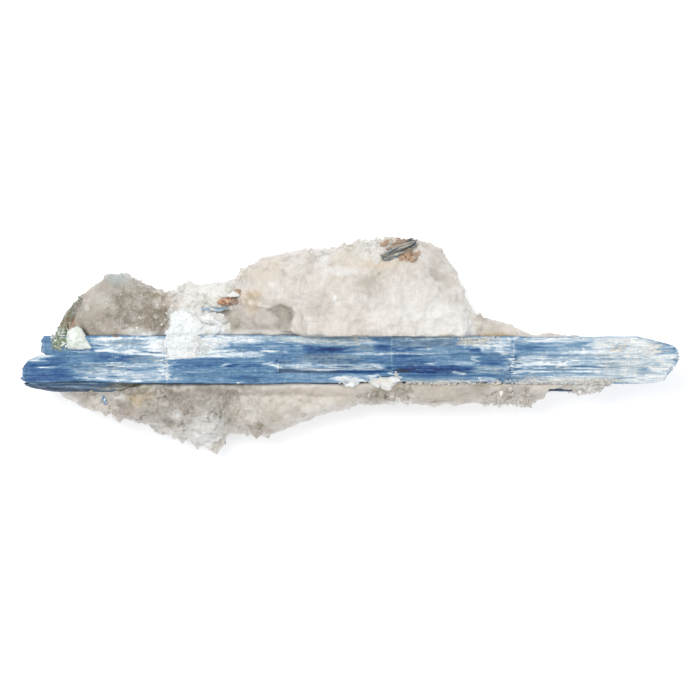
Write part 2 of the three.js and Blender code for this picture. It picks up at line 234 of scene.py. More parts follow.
def ground_map():
    """The highest point of the laths and the quartz in each square millimetre of the plan."""
    east, north = MAP_REACH
    tall = np.zeros((2 * east, 2 * north))
    for piece in bpy.data.objects:
        if piece.name.startswith(("lath_", "quartz_matrix_")) and piece.name.endswith("_surface"):
            x, y, z = points_of(piece.data).T
            square = (np.floor(x).astype(int) + east, np.floor(y).astype(int) + north)
            np.maximum.at(tall, square, z)
    return tall


def height_at(tall, x, y):
    """The ground map's height at a place in plan."""
    return tall[math.floor(x) + MAP_REACH[0], math.floor(y) + MAP_REACH[1]]


def regrown(node, voxel):
    """A CAD node's solid as an even net of small quads."""
    return evened(frame["nodes"][node].data.copy(), voxel)


def evened(solid, voxel):
    """A closed mesh as an even net of small quads; the mesh itself is used up."""
    source = bpy.data.objects.new("net", solid)
    bpy.context.scene.collection.objects.link(source)
    remesh = source.modifiers.new("even net", "REMESH")
    remesh.mode = "VOXEL"
    remesh.voxel_size = voxel * MM
    graph = bpy.context.evaluated_depsgraph_get()
    mesh = bpy.data.meshes.new_from_object(source.evaluated_get(graph))
    result = read_mesh(mesh)
    bpy.data.objects.remove(source)
    bpy.data.meshes.remove(mesh)
    bpy.data.meshes.remove(solid)
    return result


def relaxed(points, edges, rounds, pull=0.5):
    """Pulls each point towards its neighbours, which rounds off creases."""
    one, two = edges.T
    ends = np.concatenate([one, two])
    others = np.concatenate([two, one])
    number = np.bincount(ends, minlength=len(points))[:, None]
    for _ in range(rounds):
        sums = np.stack([np.bincount(ends, points[others, k], len(points)) for k in range(3)], -1)
        points = points + pull * (sums / number - points)
    return points


def outward(points, faces):
    """Unit normals at the points of a net."""
    mesh = bpy.data.meshes.new("normals")
    mesh.from_pydata(points.tolist(), [], faces)
    normals = np.empty(len(points) * 3)
    mesh.vertex_normals.foreach_get("vector", normals)
    bpy.data.meshes.remove(mesh)
    return normals.reshape(-1, 3)


def sway(points):
    """The gentle wander across the bundle that all laths and the quartz beside them share."""
    flat = points * (1, 1, 0)
    return 0.3 * noise(flat, (21, 9, 1), 11) + 0.12 * noise(flat, (6, 5, 1), 12)


# ---------------------------------------------------------------- shaders

def paint(red, green, blue):
    """A screen colour from 0 to 255 as the linear light values that shaders work in."""
    return tuple(((c / 255 + 0.055) / 1.055) ** 2.4 if c > 10 else c / 3294.6
                 for c in (red, green, blue))


# Sockets of Blender's Mix node when it mixes colours.
MIX_SHARE, MIX_FROM, MIX_TO, MIX_RESULT = 0, 6, 7, 2


class Wire:
    """A socket of a shader that adds, scales and mixes like a number."""

    def __init__(self, tree, socket):
        self.tree, self.socket = tree, socket

    def node(self, kind, settings=None, inputs=None, output=0):
        """Any node: its settings first, then its sockets' values or links."""
        made = self.tree.nodes.new(kind)
        for name, value in (settings or {}).items():
            if name == "stops":
                self.set_stops(made.color_ramp, value)
            else:
                setattr(made, name, value)
        for name, value in (inputs or {}).items():
            self.plug(value, made.inputs[name])
        return Wire(self.tree, made.outputs[output])

    @staticmethod
    def set_stops(ramp, stops):
        """Gives a colour ramp its stops, each a place from 0 to 1 and a colour."""
        while len(ramp.elements) < len(stops):
            ramp.elements.new(1.0)
        for element, (place, colour) in zip(ramp.elements, stops):
            element.position = place
            element.color = (*colour, 1)

    def plug(self, value, socket):
        """Links a wire to a socket, or sets the socket to a number or a colour."""
        if isinstance(value, Wire):
            self.tree.links.new(value.socket, socket)
        elif socket.type == "RGBA":
            socket.default_value = (*value, 1) if len(value) == 3 else value
        else:
            socket.default_value = value

    def math(self, operation, one, two, clamp=False):
        return self.node("ShaderNodeMath", {"operation": operation, "use_clamp": clamp},
                         {0: one, 1: two})

    def __add__(self, other):
        return self.math("ADD", self, other)

    def __radd__(self, other):
        return self.math("ADD", other, self)

    def __sub__(self, other):
        return self.math("SUBTRACT", self, other)

    def __rsub__(self, other):
        return self.math("SUBTRACT", other, self)

    def __mul__(self, other):
        return self.math("MULTIPLY", self, other)

    def __rmul__(self, other):
        return self.math("MULTIPLY", other, self)

    def held(self):
        """Kept between 0 and 1."""
        return self.math("ADD", self, 0.0, clamp=True)

    def ease(self, start, end):
        """0 up to start, 1 from end, smooth between; the other way round if end is lower."""
        return self.node("ShaderNodeMapRange", {"interpolation_type": "SMOOTHSTEP"},
                         {"Value": self, "From Min": start, "From Max": end})

    def stretched(self, x, y, z):
        """A place divided by a wavelength in millimetres along each axis."""
        scale = tuple(1 / (size * MM) for size in (x, y, z))
        return self.node("ShaderNodeVectorMath", {"operation": "MULTIPLY"}, {0: self, 1: scale})

    def grain(self, x, y, z, detail=2.0, roughness=0.5, distortion=0.0):
        """Noise from about 0.2 to 0.8 with a wavelength in millimetres along each axis."""
        return self.node("ShaderNodeTexNoise", None, {
            "Vector": self.stretched(x, y, z), "Scale": 1.0, "Detail": detail,
            "Roughness": roughness, "Distortion": distortion})

    def cells(self, size, feature="F1"):
        """Distance within rounded cells of a size in millimetres."""
        return self.node("ShaderNodeTexVoronoi", {"feature": feature},
                         {"Vector": self.stretched(size, size, size), "Scale": 1.0})

    def shards(self, x, y, z):
        """Angular patches, each of one even value, with a wavelength along each axis."""
        place = self.stretched(x, y, z)
        bend = place.node("ShaderNodeTexNoise", None,
                          {"Vector": place, "Scale": 1.5, "Detail": 2.0}, output=1)
        bent = place.node("ShaderNodeVectorMath", {"operation": "MULTIPLY_ADD"},
                          {0: bend, 1: (0.5, 0.5, 0.5), 2: place})
        return place.node("ShaderNodeTexVoronoi", None, {"Vector": bent, "Scale": 1.0}, output=1)

    def ramp(self, stops):
        """A colour from stops, each a place from 0 to 1 and a colour."""
        return self.node("ShaderNodeValToRGB", {"stops": stops}, {"Fac": self})

    def mixed(self, other, share):
        """This colour with a share of another."""
        return self.node("ShaderNodeMix", {"data_type": "RGBA"},
                         {MIX_SHARE: share, MIX_FROM: self, MIX_TO: other}, MIX_RESULT)

    def mark(self, name):
        """A piece's own mark, painted on its points."""
        return self.node("ShaderNodeAttribute", {"attribute_name": name}, output="Fac")


def start_material(name, **constants):
    """A material, the object's own place as a wire, and the surface shader to plug into."""
    material = bpy.data.materials.new(name)
    material.use_nodes = True
    tree = material.node_tree
    surface = tree.nodes["Principled BSDF"]
    for key, value in constants.items():
        surface.inputs[key.replace("_", " ")].default_value = value
    place = Wire(tree, None).node("ShaderNodeTexCoord", output="Object")
    return material, place, surface


def finish_material(place, surface, colour, roughness, height, relief):
    """Plugs a colour, a roughness and a bump of the given relief in millimetres."""
    bump = place.node("ShaderNodeBump", None,
                      {"Strength": 1.0, "Distance": relief * MM, "Height": height})
    place.plug(colour, surface.inputs["Base Color"])
    place.plug(roughness, surface.inputs["Roughness"])
    place.plug(bump, surface.inputs["Normal"])


def kyanite_material(colours):
    """Fibrous blue kyanite with grey, white, tan and rust that grow through the blue."""
    material, place, surface = start_material(
        "blue_kyanite", IOR=1.72, Specular_IOR_Level=0.17, Subsurface_Weight=0.1,
        Subsurface_Radius=(0.9, 0.95, 1.0), Subsurface_Scale=0.8 * MM)
    fibre = place.grain(9, 0.95, 0.95, 3)
    thread = place.grain(4.5, 0.3, 0.3, 2)
    ladder = place.grain(1.2, 5, 5, 2)
    mottle = place.grain(2.2, 1.1, 1.1, 3)
    hair = place.grain(7, 0.22, 0.22, 2)
    streak = (fibre - 0.5) * 0.75 + (thread - 0.5) * 0.4 + (hair - 0.5) * 0.45
    fleck = place.grain(1.5, 0.3, 0.3, 2)
    streak = streak + (ladder - 0.5) * 0.3 + (mottle - 0.5) * 0.55 + (fleck - 0.5) * 0.4
    # The tone mark holds painted shade on the laths' sides and painted highlights along their
    # cleavage steps.
    tone = (place.mark("tone") + streak * place.mark("life")).held()
    blue = tone.ramp([(0.0, colours.navy), (0.22, colours.deep_blue), (0.45, colours.blue),
                      (0.62, colours.light_blue), (0.8, colours.pale_blue), (1.0, colours.white)])
    grey = tone.ramp([(0.0, paint(28, 42, 64)), (0.4, paint(86, 112, 136)),
                      (0.7, paint(146, 167, 181)), (1.0, paint(228, 233, 231))])
    frost = tone.ramp([(0.3, paint(112, 138, 162)), (0.75, paint(190, 205, 217)),
                       (1.0, paint(240, 244, 244))])
    sugar = place.grain(1.3, 0.8, 0.8, 3)
    tan = (tone + (sugar - 0.5) * 0.9).held().ramp([
        (0.1, paint(98, 92, 78)), (0.6, paint(172, 167, 150)), (1.0, paint(228, 226, 216))])
    rust = tone.ramp([(0.1, paint(112, 74, 50)), (0.6, paint(176, 142, 112)),
                      (1.0, paint(224, 208, 190))])
    colour = blue
    threads = (hair - 0.5) * 0.8 + (thread - 0.5) * 0.8 + (fibre - 0.5) * 0.5
    threads = threads + (mottle - 0.5) * 1.2 + (sugar - 0.5) * 0.9
    grains = (sugar - 0.5) * 1.3 + (mottle - 0.5) * 0.9 + (thread - 0.5) * 0.4
    for name, tint, split in (("grey", grey, threads), ("white", frost, threads),
                              ("tan", tan, grains), ("rust", rust, grains)):
        mark = place.mark(name)
        colour = colour.mixed(tint, (mark + split * mark * (1.15 - mark) * 3.2).ease(0.05, 1.0))
    finish_material(place, surface, colour, (0.3 + thread * 0.3).held(),
                    fibre * 0.8 + thread * 0.6 + hair * 0.35 + mottle * 0.4, 0.12)
    return material


def quartz_material(colours):
    """Milky quartz with smoky and stained patches, veils and flaws."""
    material, place, surface = start_material(
        "milky_quartz", IOR=1.54, Specular_IOR_Level=0.5, Subsurface_Weight=0.2,
        Subsurface_Radius=(1.0, 0.95, 0.9), Subsurface_Scale=1.0 * MM)
    cloud = place.grain(16, 16, 16, 4)
    mottle = place.grain(3.4, 3.4, 3.4, 5, 0.6)
    sugar = place.grain(1.1, 1.1, 1.1, 3)
    upper = place.node("ShaderNodeSeparateXYZ", None, {0: place}, 1).ease(-0.01, 0)
    lying = place.grain(7, 1.4, 3, 4, 0.6, 1.2)
    veil = lying + (place.grain(1.6, 5.5, 3, 4, 0.6, 1.4) - lying) * upper
    crack = place.node("ShaderNodeTexNoise", {
        "noise_type": "RIDGED_MULTIFRACTAL", "normalize": True},
        {"Vector": place.stretched(7, 7, 7), "Scale": 1.0, "Detail": 5.0, "Roughness": 0.7})
    shard = place.shards(9, 13, 9) * 0.6 + place.shards(3.4, 4.6, 3.4) * 0.4
    base = (cloud * 0.4 + mottle * 0.2 + veil * 0.15 + shard * 0.36 - 0.05).ramp([
        (0.27, colours.quartz_shade), (0.5, colours.quartz), (0.7, colours.quartz_light)])
    breakup = (mottle - 0.5) * 0.7 + (veil - 0.5) * 0.5

    def share(name):
        raw = place.mark(name)
        return (raw * (1.0 + breakup * 1.2)).held()

    smoky = (cloud * 0.5 + mottle * 0.5).ramp([(0.35, colours.smoke_dark), (0.65, colours.smoke)])
    # Besides real smoky and frosted patches, the smoke mark holds painted shade in the shells'
    # hollows, and the frost mark painted highlights on bubble tops and facet rims.
    colour = base.mixed(smoky, share("smoke"))
    for name, tint in (("warm", colours.warm), ("ochre", colours.ochre), ("rust", colours.rust),
                       ("green", colours.green), ("teal", colours.teal),
                       ("frost", colours.white)):
        colour = colour.mixed(tint, share(name))
    grit = place.grain(0.55, 0.55, 0.55, 2)
    facets = place.cells(1.9) * place.mark("bubbly")
    colour = colour.mixed(colours.white, sugar.ease(0.56, 0.7) * 0.25)
    colour = colour.mixed(colours.white, crack.ease(0.62, 0.85) * 0.25)
    colour = colour.mixed(colours.smoke_dark, grit.ease(0.42, 0.28) * 0.18)
    # Painted shade in the crevices and hollows.
    colour = colour.mixed(colours.smoke_dark, place.mark("pit") * 0.6)
    height = mottle * 0.4 + sugar * 0.45 + shard * 0.5 + veil * 0.35 + crack * 0.35
    height = height + grit * 0.3 - facets * 0.35
    finish_material(place, surface, colour, (0.14 + mottle * 0.2 + shard * 0.2).held(),
                    height, 0.5)
    return material


def clear_material(colours):
    """The little quartz points, which let some light through."""
    material, place, surface = start_material(
        "clear_quartz", IOR=1.54, Transmission_Weight=0.12, Specular_IOR_Level=0.6)
    cloud = place.grain(3, 3, 3, 4)
    veil = place.grain(0.9, 0.9, 0.9, 3)
    colour = (cloud * 0.6 + veil * 0.4).ramp([
        (0.3, colours.quartz_shade), (0.5, colours.quartz_light), (0.62, colours.white)])
    colour = colour.mixed(colours.warm, (place.mark("warm") * cloud * 1.6).held())
    colour = colour.mixed(colours.smoke, place.mark("smoke").held())
    # The frost mark includes painted highlights taken from the quartz below.
    colour = colour.mixed(colours.white, (place.mark("frost") * (0.5 + veil)).held())
    finish_material(place, surface, colour, (0.08 + veil * 0.2).held(), cloud, 0.1)
    return material


def crust_material(colours):
    """White sugary grains, cream or brown in places."""
    material, place, surface = start_material(
        "sugary_crust", IOR=1.53, Specular_IOR_Level=0.4, Subsurface_Weight=0.4,
        Subsurface_Radius=(1.0, 1.0, 1.0), Subsurface_Scale=1.2 * MM)
    sugar = place.grain(0.8, 0.8, 0.8, 3)
    patch = place.grain(5, 5, 5, 3)
    colour = (sugar * 0.55 + patch * 0.45).ramp([
        (0.34, paint(200, 206, 208)), (0.44, paint(226, 231, 232)), (0.58, paint(244, 246, 245))])
    colour = colour.mixed(colours.warm, (place.mark("warm") * patch * 1.5).held())
    colour = colour.mixed(paint(168, 134, 104), (place.mark("brown") * 1.2).held())
    finish_material(place, surface, colour, (0.45 + sugar * 0.4).held(), sugar, 0.3)
    return material


def mica_material(colours):
    """Rust-brown mica leaves with pale, slate and dull ones among them."""
    material, place, surface = start_material(
        "flaky_mica", IOR=1.58, Specular_IOR_Level=0.6)
    leaf = place.grain(2.4, 1.2, 0.35, 3)
    blotch = place.grain(1.6, 1.6, 1.6, 3)
    colour = (leaf * 0.5 + blotch * 0.5).ramp([
        (0.34, paint(104, 72, 50)), (0.46, colours.rust), (0.56, paint(214, 172, 134)),
        (0.68, paint(240, 226, 208))])
    colour = colour.mixed(paint(112, 128, 138), place.mark("slate").held())
    colour = colour.mixed(paint(184, 162, 136), place.mark("dull").held())
    finish_material(place, surface, colour, (0.22 + blotch * 0.4).held(), leaf, 0.15)
    return material


def chlorite_material(colours):
    """Green-grey scales with pale grains."""
    material, place, surface = start_material(
        "scaly_chlorite", IOR=1.6, Specular_IOR_Level=0.4)
    grain = place.grain(0.9, 0.9, 0.9, 3)
    patch = place.grain(3.5, 3.5, 3.5, 2)
    colour = (grain * 0.6 + patch * 0.4).ramp([
        (0.34, paint(88, 104, 84)), (0.48, colours.green), (0.6, paint(168, 180, 160))])
    colour = colour.mixed(paint(240, 243, 236), (place.mark("pale") + grain.ease(0.6, 0.68)).held())
    colour = colour.mixed(paint(150, 122, 98), (place.mark("rust") * (grain + 0.5)).held())
    colour = colour.mixed(paint(146, 154, 156), (place.mark("slate") * (grain + 0.3)).held())
    finish_material(place, surface, colour, (0.35 + grain * 0.4).held(), grain, 0.2)
    return material


def green_material(colours):
    """The pale green crystal with faint veils and cracks."""
    material, place, surface = start_material(
        "pale_green_crystal", IOR=1.62, Specular_IOR_Level=0.5, Subsurface_Weight=0.3,
        Subsurface_Radius=(0.8, 1.0, 0.8), Subsurface_Scale=1.5 * MM)
    veil = place.grain(2.6, 1.2, 1.2, 4, 0.6, 0.8)
    crack = place.cells(2.4, "DISTANCE_TO_EDGE").ease(0.02, 0.0)
    colour = veil.ramp([(0.34, paint(178, 192, 174)), (0.45, paint(214, 221, 211)),
                        (0.58, paint(238, 241, 236))])
    colour = colour.mixed(paint(150, 172, 146), crack * 0.12)
    finish_material(place, surface, colour, (0.18 + veil * 0.3).held(), veil, 0.12)
    return material


def floor_material():
    """A nearly white matt floor with a little light of its own."""
    material, place, surface = start_material(
        "pale_floor", Specular_IOR_Level=0.0, Emission_Color=(1, 1, 1, 1), Emission_Strength=0.28)
    tooth = place.grain(6, 6, 6, 3)
    colour = tooth.ramp([(0.3, paint(247, 249, 252)), (0.7, paint(249, 251, 254))])
    finish_material(place, surface, colour, (0.85 + tooth * 0.1).held(), tooth, 0.01)
    return material


MAKERS = {"blue_kyanite": kyanite_material, "milky_quartz": quartz_material,
          "clear_quartz": clear_material, "sugary_crust": crust_material,
          "flaky_mica": mica_material, "scaly_chlorite": chlorite_material,
          "pale_green_crystal": green_material}


def material_called(name):
    """The named material, made the first time it is asked for."""
    if name not in bpy.data.materials:
        MAKERS[name](bpy.context.scene.kyanite_colours)
    return bpy.data.materials[name]


# ---------------------------------------------------------------- kyanite laths

# Patches and streaks on the laths' upper faces: west, east, south and north edge, kind, tone
# from 0 dark to 1 white, strength, and for some how far the patch stands up.
STROKES = [
    # upper left lath
    (-143.5, -85, -4.4, 4.4, "blue", 0.42, 0.8),
    (-119.5, -85, -2.6, 4, "blue", 0.80, 0.9),
    (-119, -108, 1.6, 4, "blue", 0.93, 1),
    (-143, -129.5, -1.6, 4.4, "blue", 0.55, 0.8),
    (-143, -130, -6.3, -2.1, "blue", 0.42, 0.9),
    (-129.5, -122, -2.5, -1.5, "blue", 0.22, 1),
    (-129.5, -121.5, -3.4, -2.7, "blue", 0.9, 1),
    (-110, -106, 2.1, 4, "white", 0.98, 1),
    (-119, -115, -0.2, 0.8, "white", 0.98, 1),
    (-108.5, -96, 0, 2.1, "grey", 0.66, 0.9),
    (-109, -93.5, -3, -0.2, "blue", 0.76, 0.9),
    (-94.5, -85, -3, 4, "white", 0.9, 1),
    (-122, -110, -2.8, -1.9, "white", 0.93, 1),
    (-111, -100.5, -3.7, -2.7, "white", 0.93, 1),
    (-102.5, -84.5, -4.5, -3.5, "white", 0.95, 1),
    (-94, -85, -3.8, -3.2, "grey", 0.3, 0.9, -0.3),
    (-112, -109, 3.8, 4.5, "rust", 0.45, 1),
    # seam strip
    (-123, -110.5, -7.7, -3.5, "blue", 0.36, 1),
    (-118, -111, -6.5, -5.1, "blue", 0.2, 1),
    (-110.5, -110, -7.2, -4.7, "white", 0.9, 1),
    (-110, -93, -8, -4.9, "grey", 0.45, 0.6),
    (-109.5, -103.5, -7, -4.9, "blue", 0.22, 0.9),
    (-93.5, -84.5, -8, -4.9, "grey", 0.62, 0.95),
    (-130.5, -121.5, -7.7, -4, "blue", 0.5, 0.8),
    # lower left lath
    (-153, -142, -8.2, -4.9, "blue", 0.82, 1),
    (-143, -133.5, -9.4, -6.2, "blue", 0.22, 1),
    (-150.5, -143, -10, -7.7, "blue", 0.2, 0.9),
    (-145.5, -136, -10.8, -10.0, "white", 0.92, 1),
    (-153, -127, -16.6, -10.6, "blue", 0.2, 0.95),
    (-153, -147.5, -16.1, -8, "blue", 0.3, 0.9),
    (-132, -128.5, -15.4, -12.6, "blue", 0.24, 0.8),
    (-133.5, -120.5, -11, -8.2, "blue", 0.40, 0.7),
    (-127, -85, -16.6, -8.1, "blue", 0.78, 0.9),
    (-126, -116.5, -12.8, -9.1, "grey", 0.55, 0.6),
    (-127, -114, -16.2, -14.7, "blue", 0.86, 0.9),
    (-103, -98, -16.6, -15.5, "white", 0.98, 1),
    (-94, -88.5, -10.8, -9.9, "blue", 0.5, 0.8),
    (-100, -96, -11.6, -10.5, "blue", 0.55, 0.7),
    (-111, -106, -10.6, -9.8, "blue", 0.55, 0.8),
    (-120.5, -103.5, -12.8, -11.4, "grey", 0.74, 0.6),
    (-87.5, -84.5, -16.1, -8.2, "white", 0.92, 0.8),
    # upper middle
    (-85, -58, -6.1, 4, "white", 0.96, 0.95),
    (-82.5, -56, 0.2, 2.1, "white", 1, 0.9),
    (-74.5, -58.5, -3.5, -2.3, "blue", 0.88, 0.5),
    (-67.5, -52.5, -6, -3, "blue", 0.92, 0.7),
    (-67.5, -38.5, 0.7, 4, "blue", 0.9, 0.8),
    (-55, -37.5, -0.2, 3, "blue", 0.82, 0.6),
    (-76, -56, -5.6, 4, "white", 0.9, 0.45),
    (-52.5, -39, -2.8, -0.5, "blue", 0.42, 0.85),
    (-63, -52.5, -2.6, -1.6, "blue", 0.66, 0.7),
    (-56, -38.5, -6, -3.2, "white", 0.86, 0.8, 0.2),
    (-39, -36, -4, -1.4, "white", 0.92, 0.9),
    (-38.5, -16, 1.2, 3.9, "grey", 0.84, 0.8),
    (-38.5, -16, -4.4, 1.2, "blue", 0.45, 0.9),
    (-30.5, -27, -1.2, 0.5, "blue", 0.18, 0.9),
    (-21, -16, -4, -0.2, "blue", 0.2, 0.8),
    (-24.5, -20.5, -2.1, -0.2, "blue", 0.6, 0.7),
    (-32, -28, -3.7, -2.1, "white", 0.8, 0.6),
    (-38.5, -23.5, -7.2, -4.4, "blue", 0.40, 0.8),
    (-23.5, 3, -0.2, 4, "grey", 0.74, 0.9),
    (-22.5, -15, 1.2, 4, "grey", 0.76, 0.8),
    (-16, -0.5, -3.3, -0.9, "blue", 0.02, 1),
    (-18, 0, -4.2, -2.1, "blue", 0.2, 0.6),
    (-23.5, 3, -8.4, -4, "grey", 0.44, 0.8),
    (2, 5.5, 0.2, 4.2, "tan", 0.72, 0.6),
    (5.5, 13, 0.4, 4, "white", 0.76, 0.6),
    (8.5, 12, 1.4, 2.8, "tan", 0.8, 0.4),
    (10.5, 19.5, -2.6, 0.2, "blue", 0.18, 1),
    (1, 10.5, -3, 0.2, "grey", 0.58, 0.8),
    (2, 19.5, -4.9, -3.9, "white", 0.76, 0.8),
    (3, 19, -8.5, -4.9, "blue", 0.36, 0.8),
    # lower middle
    (-83, -50.5, -8.9, -6.2, "blue", 0.36, 0.9),
    (-83, -77.5, -9.8, -9, "blue", 0.1, 1),
    (-73.5, -67, -9.8, -7.7, "grey", 0.3, 0.9),
    (-76.5, -57, -10, -7.7, "blue", 0.3, 0.7),
    (-83, -34.5, -17.3, -10, "blue", 0.50, 0.9),
    (-83, -62.5, -12.8, -12.2, "blue", 0.76, 0.9),
    (-62.5, -59, -16.6, -9.8, "blue", 0.62, 0.6),
    (-83, -81, -16.6, -6.8, "blue", 0.72, 0.7),
    (-58.5, -56, -9.7, -8.4, "white", 0.78, 0.8),
    (-55, -50.5, -10, -8.6, "blue", 0.08, 1),
    (-50.5, -37.5, -10.3, -8.8, "blue", 0.2, 1),
    (-51.5, -38.5, -8.4, -6.2, "blue", 0.46, 0.8),
    (-55, -48.5, -16.1, -13.3, "blue", 0.36, 0.8),
    (-46.5, -34.5, -16.6, -14.2, "blue", 0.42, 0.6),
    (-51.5, -50, -17.8, -16.8, "white", 0.98, 1),
    (-37.5, -34.5, -9.4, -7.9, "white", 0.9, 0.7, 0.3),
    (-36.5, -35.5, -8, -6.9, "blue", 0.05, 1, -0.4),
    (-35, -31, -10.4, -8.9, "white", 0.9, 0.7, 0.3),
    (-34, -31.5, -8.4, -7.2, "grey", 0.4, 0.8),
    # thin pale and navy
    (-31.5, -15, -11, -8.4, "blue", 0.84, 1),
    (-15, 17.8, -11, -8.5, "blue", 0.82, 1),
    (-18, 3, -10.9, -10.3, "blue", 0.4, 0.7),
    (-23.5, 4.5, -11.7, -11, "white", 0.95, 1),
    (1, 17.5, -11.4, -10.5, "white", 0.86, 0.9),
    (-32.5, -2, -13, -11.7, "grey", 0.24, 1),
    (-2, 18.5, -13.3, -11.6, "blue", 0.2, 1),
    # lower strip
    (-34.5, -2.5, -17.3, -13.3, "blue", 0.5, 0.9),
    (-25, -9.5, -16.1, -14.2, "blue", 0.55, 0.7),
    (-2.5, 12, -15.2, -13.3, "blue", 0.62, 0.9),
    (7.5, 12, -15.4, -13.5, "white", 0.8, 0.8),
    (12, 18, -15.3, -14.5, "grey", 0.08, 1, -0.6),
    (-23.5, -2.5, -17.2, -16.1, "blue", 0.68, 0.6),
    # centre: upper
    (20, 59.5, 2.1, 3.9, "grey", 0.58, 0.9),
    (22.5, 28, 1.8, 3.5, "white", 0.8, 0.6),
    (28, 45, 2.3, 3.5, "white", 0.76, 0.55),
    (25.5, 30, -1.8, -0.5, "white", 0.8, 0.5),
    (31.5, 34.5, -0.2, 1.2, "white", 0.8, 0.6),
    (34.5, 38, -2.3, -1.2, "white", 0.82, 0.8),
    (42, 45, -0.5, 1.4, "white", 0.9, 0.9),
    (21, 51.5, -1.2, 2.1, "grey", 0.5, 0.7),
    (21, 31, -3.1, -1, "blue", 0.18, 1),
    (36.5, 56, -3, -1.2, "blue", 0.56, 0.8),
    (50.5, 60.5, 0, 4, "tan", 0.74, 0.72),
    (59.5, 67, -1.4, 4, "tan", 0.78, 0.72),
    (53, 66, -1.4, 0.2, "white", 0.84, 0.7),
    (49.5, 51.5, 2.1, 4, "blue", 0.5, 0.9),
    (55, 59, -2.8, -1.2, "blue", 0.16, 1),
    (17, 42.5, -4.5, -3.7, "white", 0.82, 0.85),
    (42, 58.5, -4.9, -4, "blue", 0.74, 0.7),
    (59.5, 65.5, -3.5, -1.6, "blue", 0.7, 0.8),
    (65.5, 76.5, -3.7, 4, "white", 0.82, 0.75),
    (68, 72, -3.6, -2.4, "white", 0.9, 0.75),
    (66, 70, -2.4, -0.7, "blue", 0.55, 0.7),
    # centre: lower
    (20, 38, -9.6, -4.4, "blue", 0.28, 0.85),
    (20, 29, -11, -9.6, "blue", 0.34, 0.7),
    (37.5, 58, -8.6, -4.4, "blue", 0.48, 0.9),
    (45, 60, -9.3, -7.2, "blue", 0.74, 0.9),
    (34.5, 38, -8.9, -7.9, "white", 0.78, 0.6),
    (57, 61, -7, -4.9, "white", 0.88, 0.8, 0.25),
    (59, 61, -9.1, -6.8, "white", 0.9, 0.9, 0.25),
    (59, 60.5, -8.8, -7.7, "blue", 0.1, 0.9, -0.4),
    (60.5, 73.5, -9.1, -5.2, "blue", 0.36, 0.95),
    (20, 59, -13, -9.7, "blue", 0.08, 1),
    (20, 29, -12.6, -10.8, "grey", 0.06, 0.9),
    (42, 59, -13.1, -11.8, "grey", 0.3, 0.6),
    (48, 52, -14.2, -12.4, "white", 0.82, 0.7),
    (59, 71, -13.3, -9.7, "grey", 0.66, 0.9),
    (21, 49, -15.3, -13.3, "blue", 0.3, 0.9),
    (52, 70.5, -14.9, -13.7, "blue", 0.28, 1),
    (22.5, 58, -17.3, -15.4, "grey", 0.66, 0.8),
    (58, 72, -16.7, -15.3, "white", 0.78, 0.6),
    (69, 72, -16.6, -15.6, "grey", 0.2, 0.7, -0.3),
    # right: upper
    (77, 94.5, -2.8, 1.4, "blue", 0.46, 0.9),
    (77, 88.5, -1.4, 0.2, "blue", 0.24, 0.9),
    (77, 116.5, 1.8, 4, "blue", 0.9, 0.85),
    (77.5, 83, 0.7, 3.5, "blue", 0.7, 0.6),
    (94.5, 112, -2.6, 1.4, "blue", 0.76, 0.9),
    (103, 110.5, -1.2, 1.6, "blue", 0.46, 0.8),
    (77, 98, -4.2, -2.6, "blue", 0.7, 0.8),
    (98, 127, -4, -2.5, "white", 0.93, 0.85),
    (112, 144.5, -4, 4, "white", 0.82, 0.85),
    (113, 122, -2.1, 3.5, "grey", 0.82, 0.6),
    (121.5, 128.5, -3.0, 0.3, "rust", 0.62, 0.9),
    (124, 127, -1.9, -0.7, "tan", 0.9, 0.8),
    (128.5, 131.5, -0.2, 2.6, "tan", 0.84, 0.6),
    (132, 136.5, 2.3, 3.8, "grey", 0.58, 0.9),
    (130.5, 138.5, 0, 2.1, "white", 1, 1),
    (137, 144.5, -4, 0.7, "tan", 0.9, 0.5),
    (143, 146, -2.1, 2.1, "grey", 0.6, 0.7),
    (144.5, 152, -3.6, 0.8, "blue", 0.6, 1),
    (149.5, 152, -3, -1.6, "blue", 0.45, 0.8),
    (144.5, 153.5, -6.8, -3.8, "blue", 0.84, 1),
    (145.5, 152, -11, -6.8, "tan", 0.95, 0.8),
    (94, 153.5, -17.6, -4.6, "blue", 0.78, 0.8),
    # right: middle
    (76, 92.5, -9.6, -4.3, "white", 0.86, 0.9),
    (72.5, 77.5, -13.3, -9.4, "white", 0.9, 0.8),
    (73.5, 75.5, -11.4, -10, "blue", 0.2, 0.9),
    (76.5, 80, -14, -10, "blue", 0.34, 0.7),
    (79.5, 82.5, -13.4, -11, "white", 0.86, 0.6),
    (77.5, 80.5, -12.4, -11.4, "white", 0.9, 0.6),
    (78.5, 91.5, -7.2, -4.7, "blue", 0.76, 0.6),
    (86.5, 89.5, -7.4, -6.6, "blue", 0.5, 0.8),
    (91.5, 101.5, -9.6, -7.4, "white", 0.92, 0.9),
    (92.5, 101.5, -10.2, -9.6, "grey", 0.1, 1, -0.4),
    (101.5, 116.5, -9.6, -4.4, "blue", 0.70, 0.9),
    (82, 117.5, -11, -10.3, "white", 0.9, 0.95),
    (83, 116.5, -11.7, -11, "blue", 0.3, 0.9),
    (83, 116.5, -12.5, -11.9, "white", 0.88, 0.9),
    (91, 116.5, -14, -12.6, "blue", 0.5, 0.9),
    (102.5, 121.5, -10.3, -9.6, "blue", 0.3, 1),
    (116.5, 135.5, -7.7, -4.4, "blue", 0.62, 0.9),
    (119.5, 127, -5.8, -4.9, "blue", 0.8, 0.7),
    (115, 127, -8.6, -7.9, "blue", 0.18, 1),
    (122, 126, -7.5, -6.1, "white", 0.97, 1, 0.3),
    (116, 120.5, -9.6, -8.6, "white", 0.95, 0.9),
    (121.5, 146.5, -13.8, -5.4, "blue", 0.78, 0.85),
    (121.5, 128.5, -13.3, -10, "blue", 0.68, 0.7),
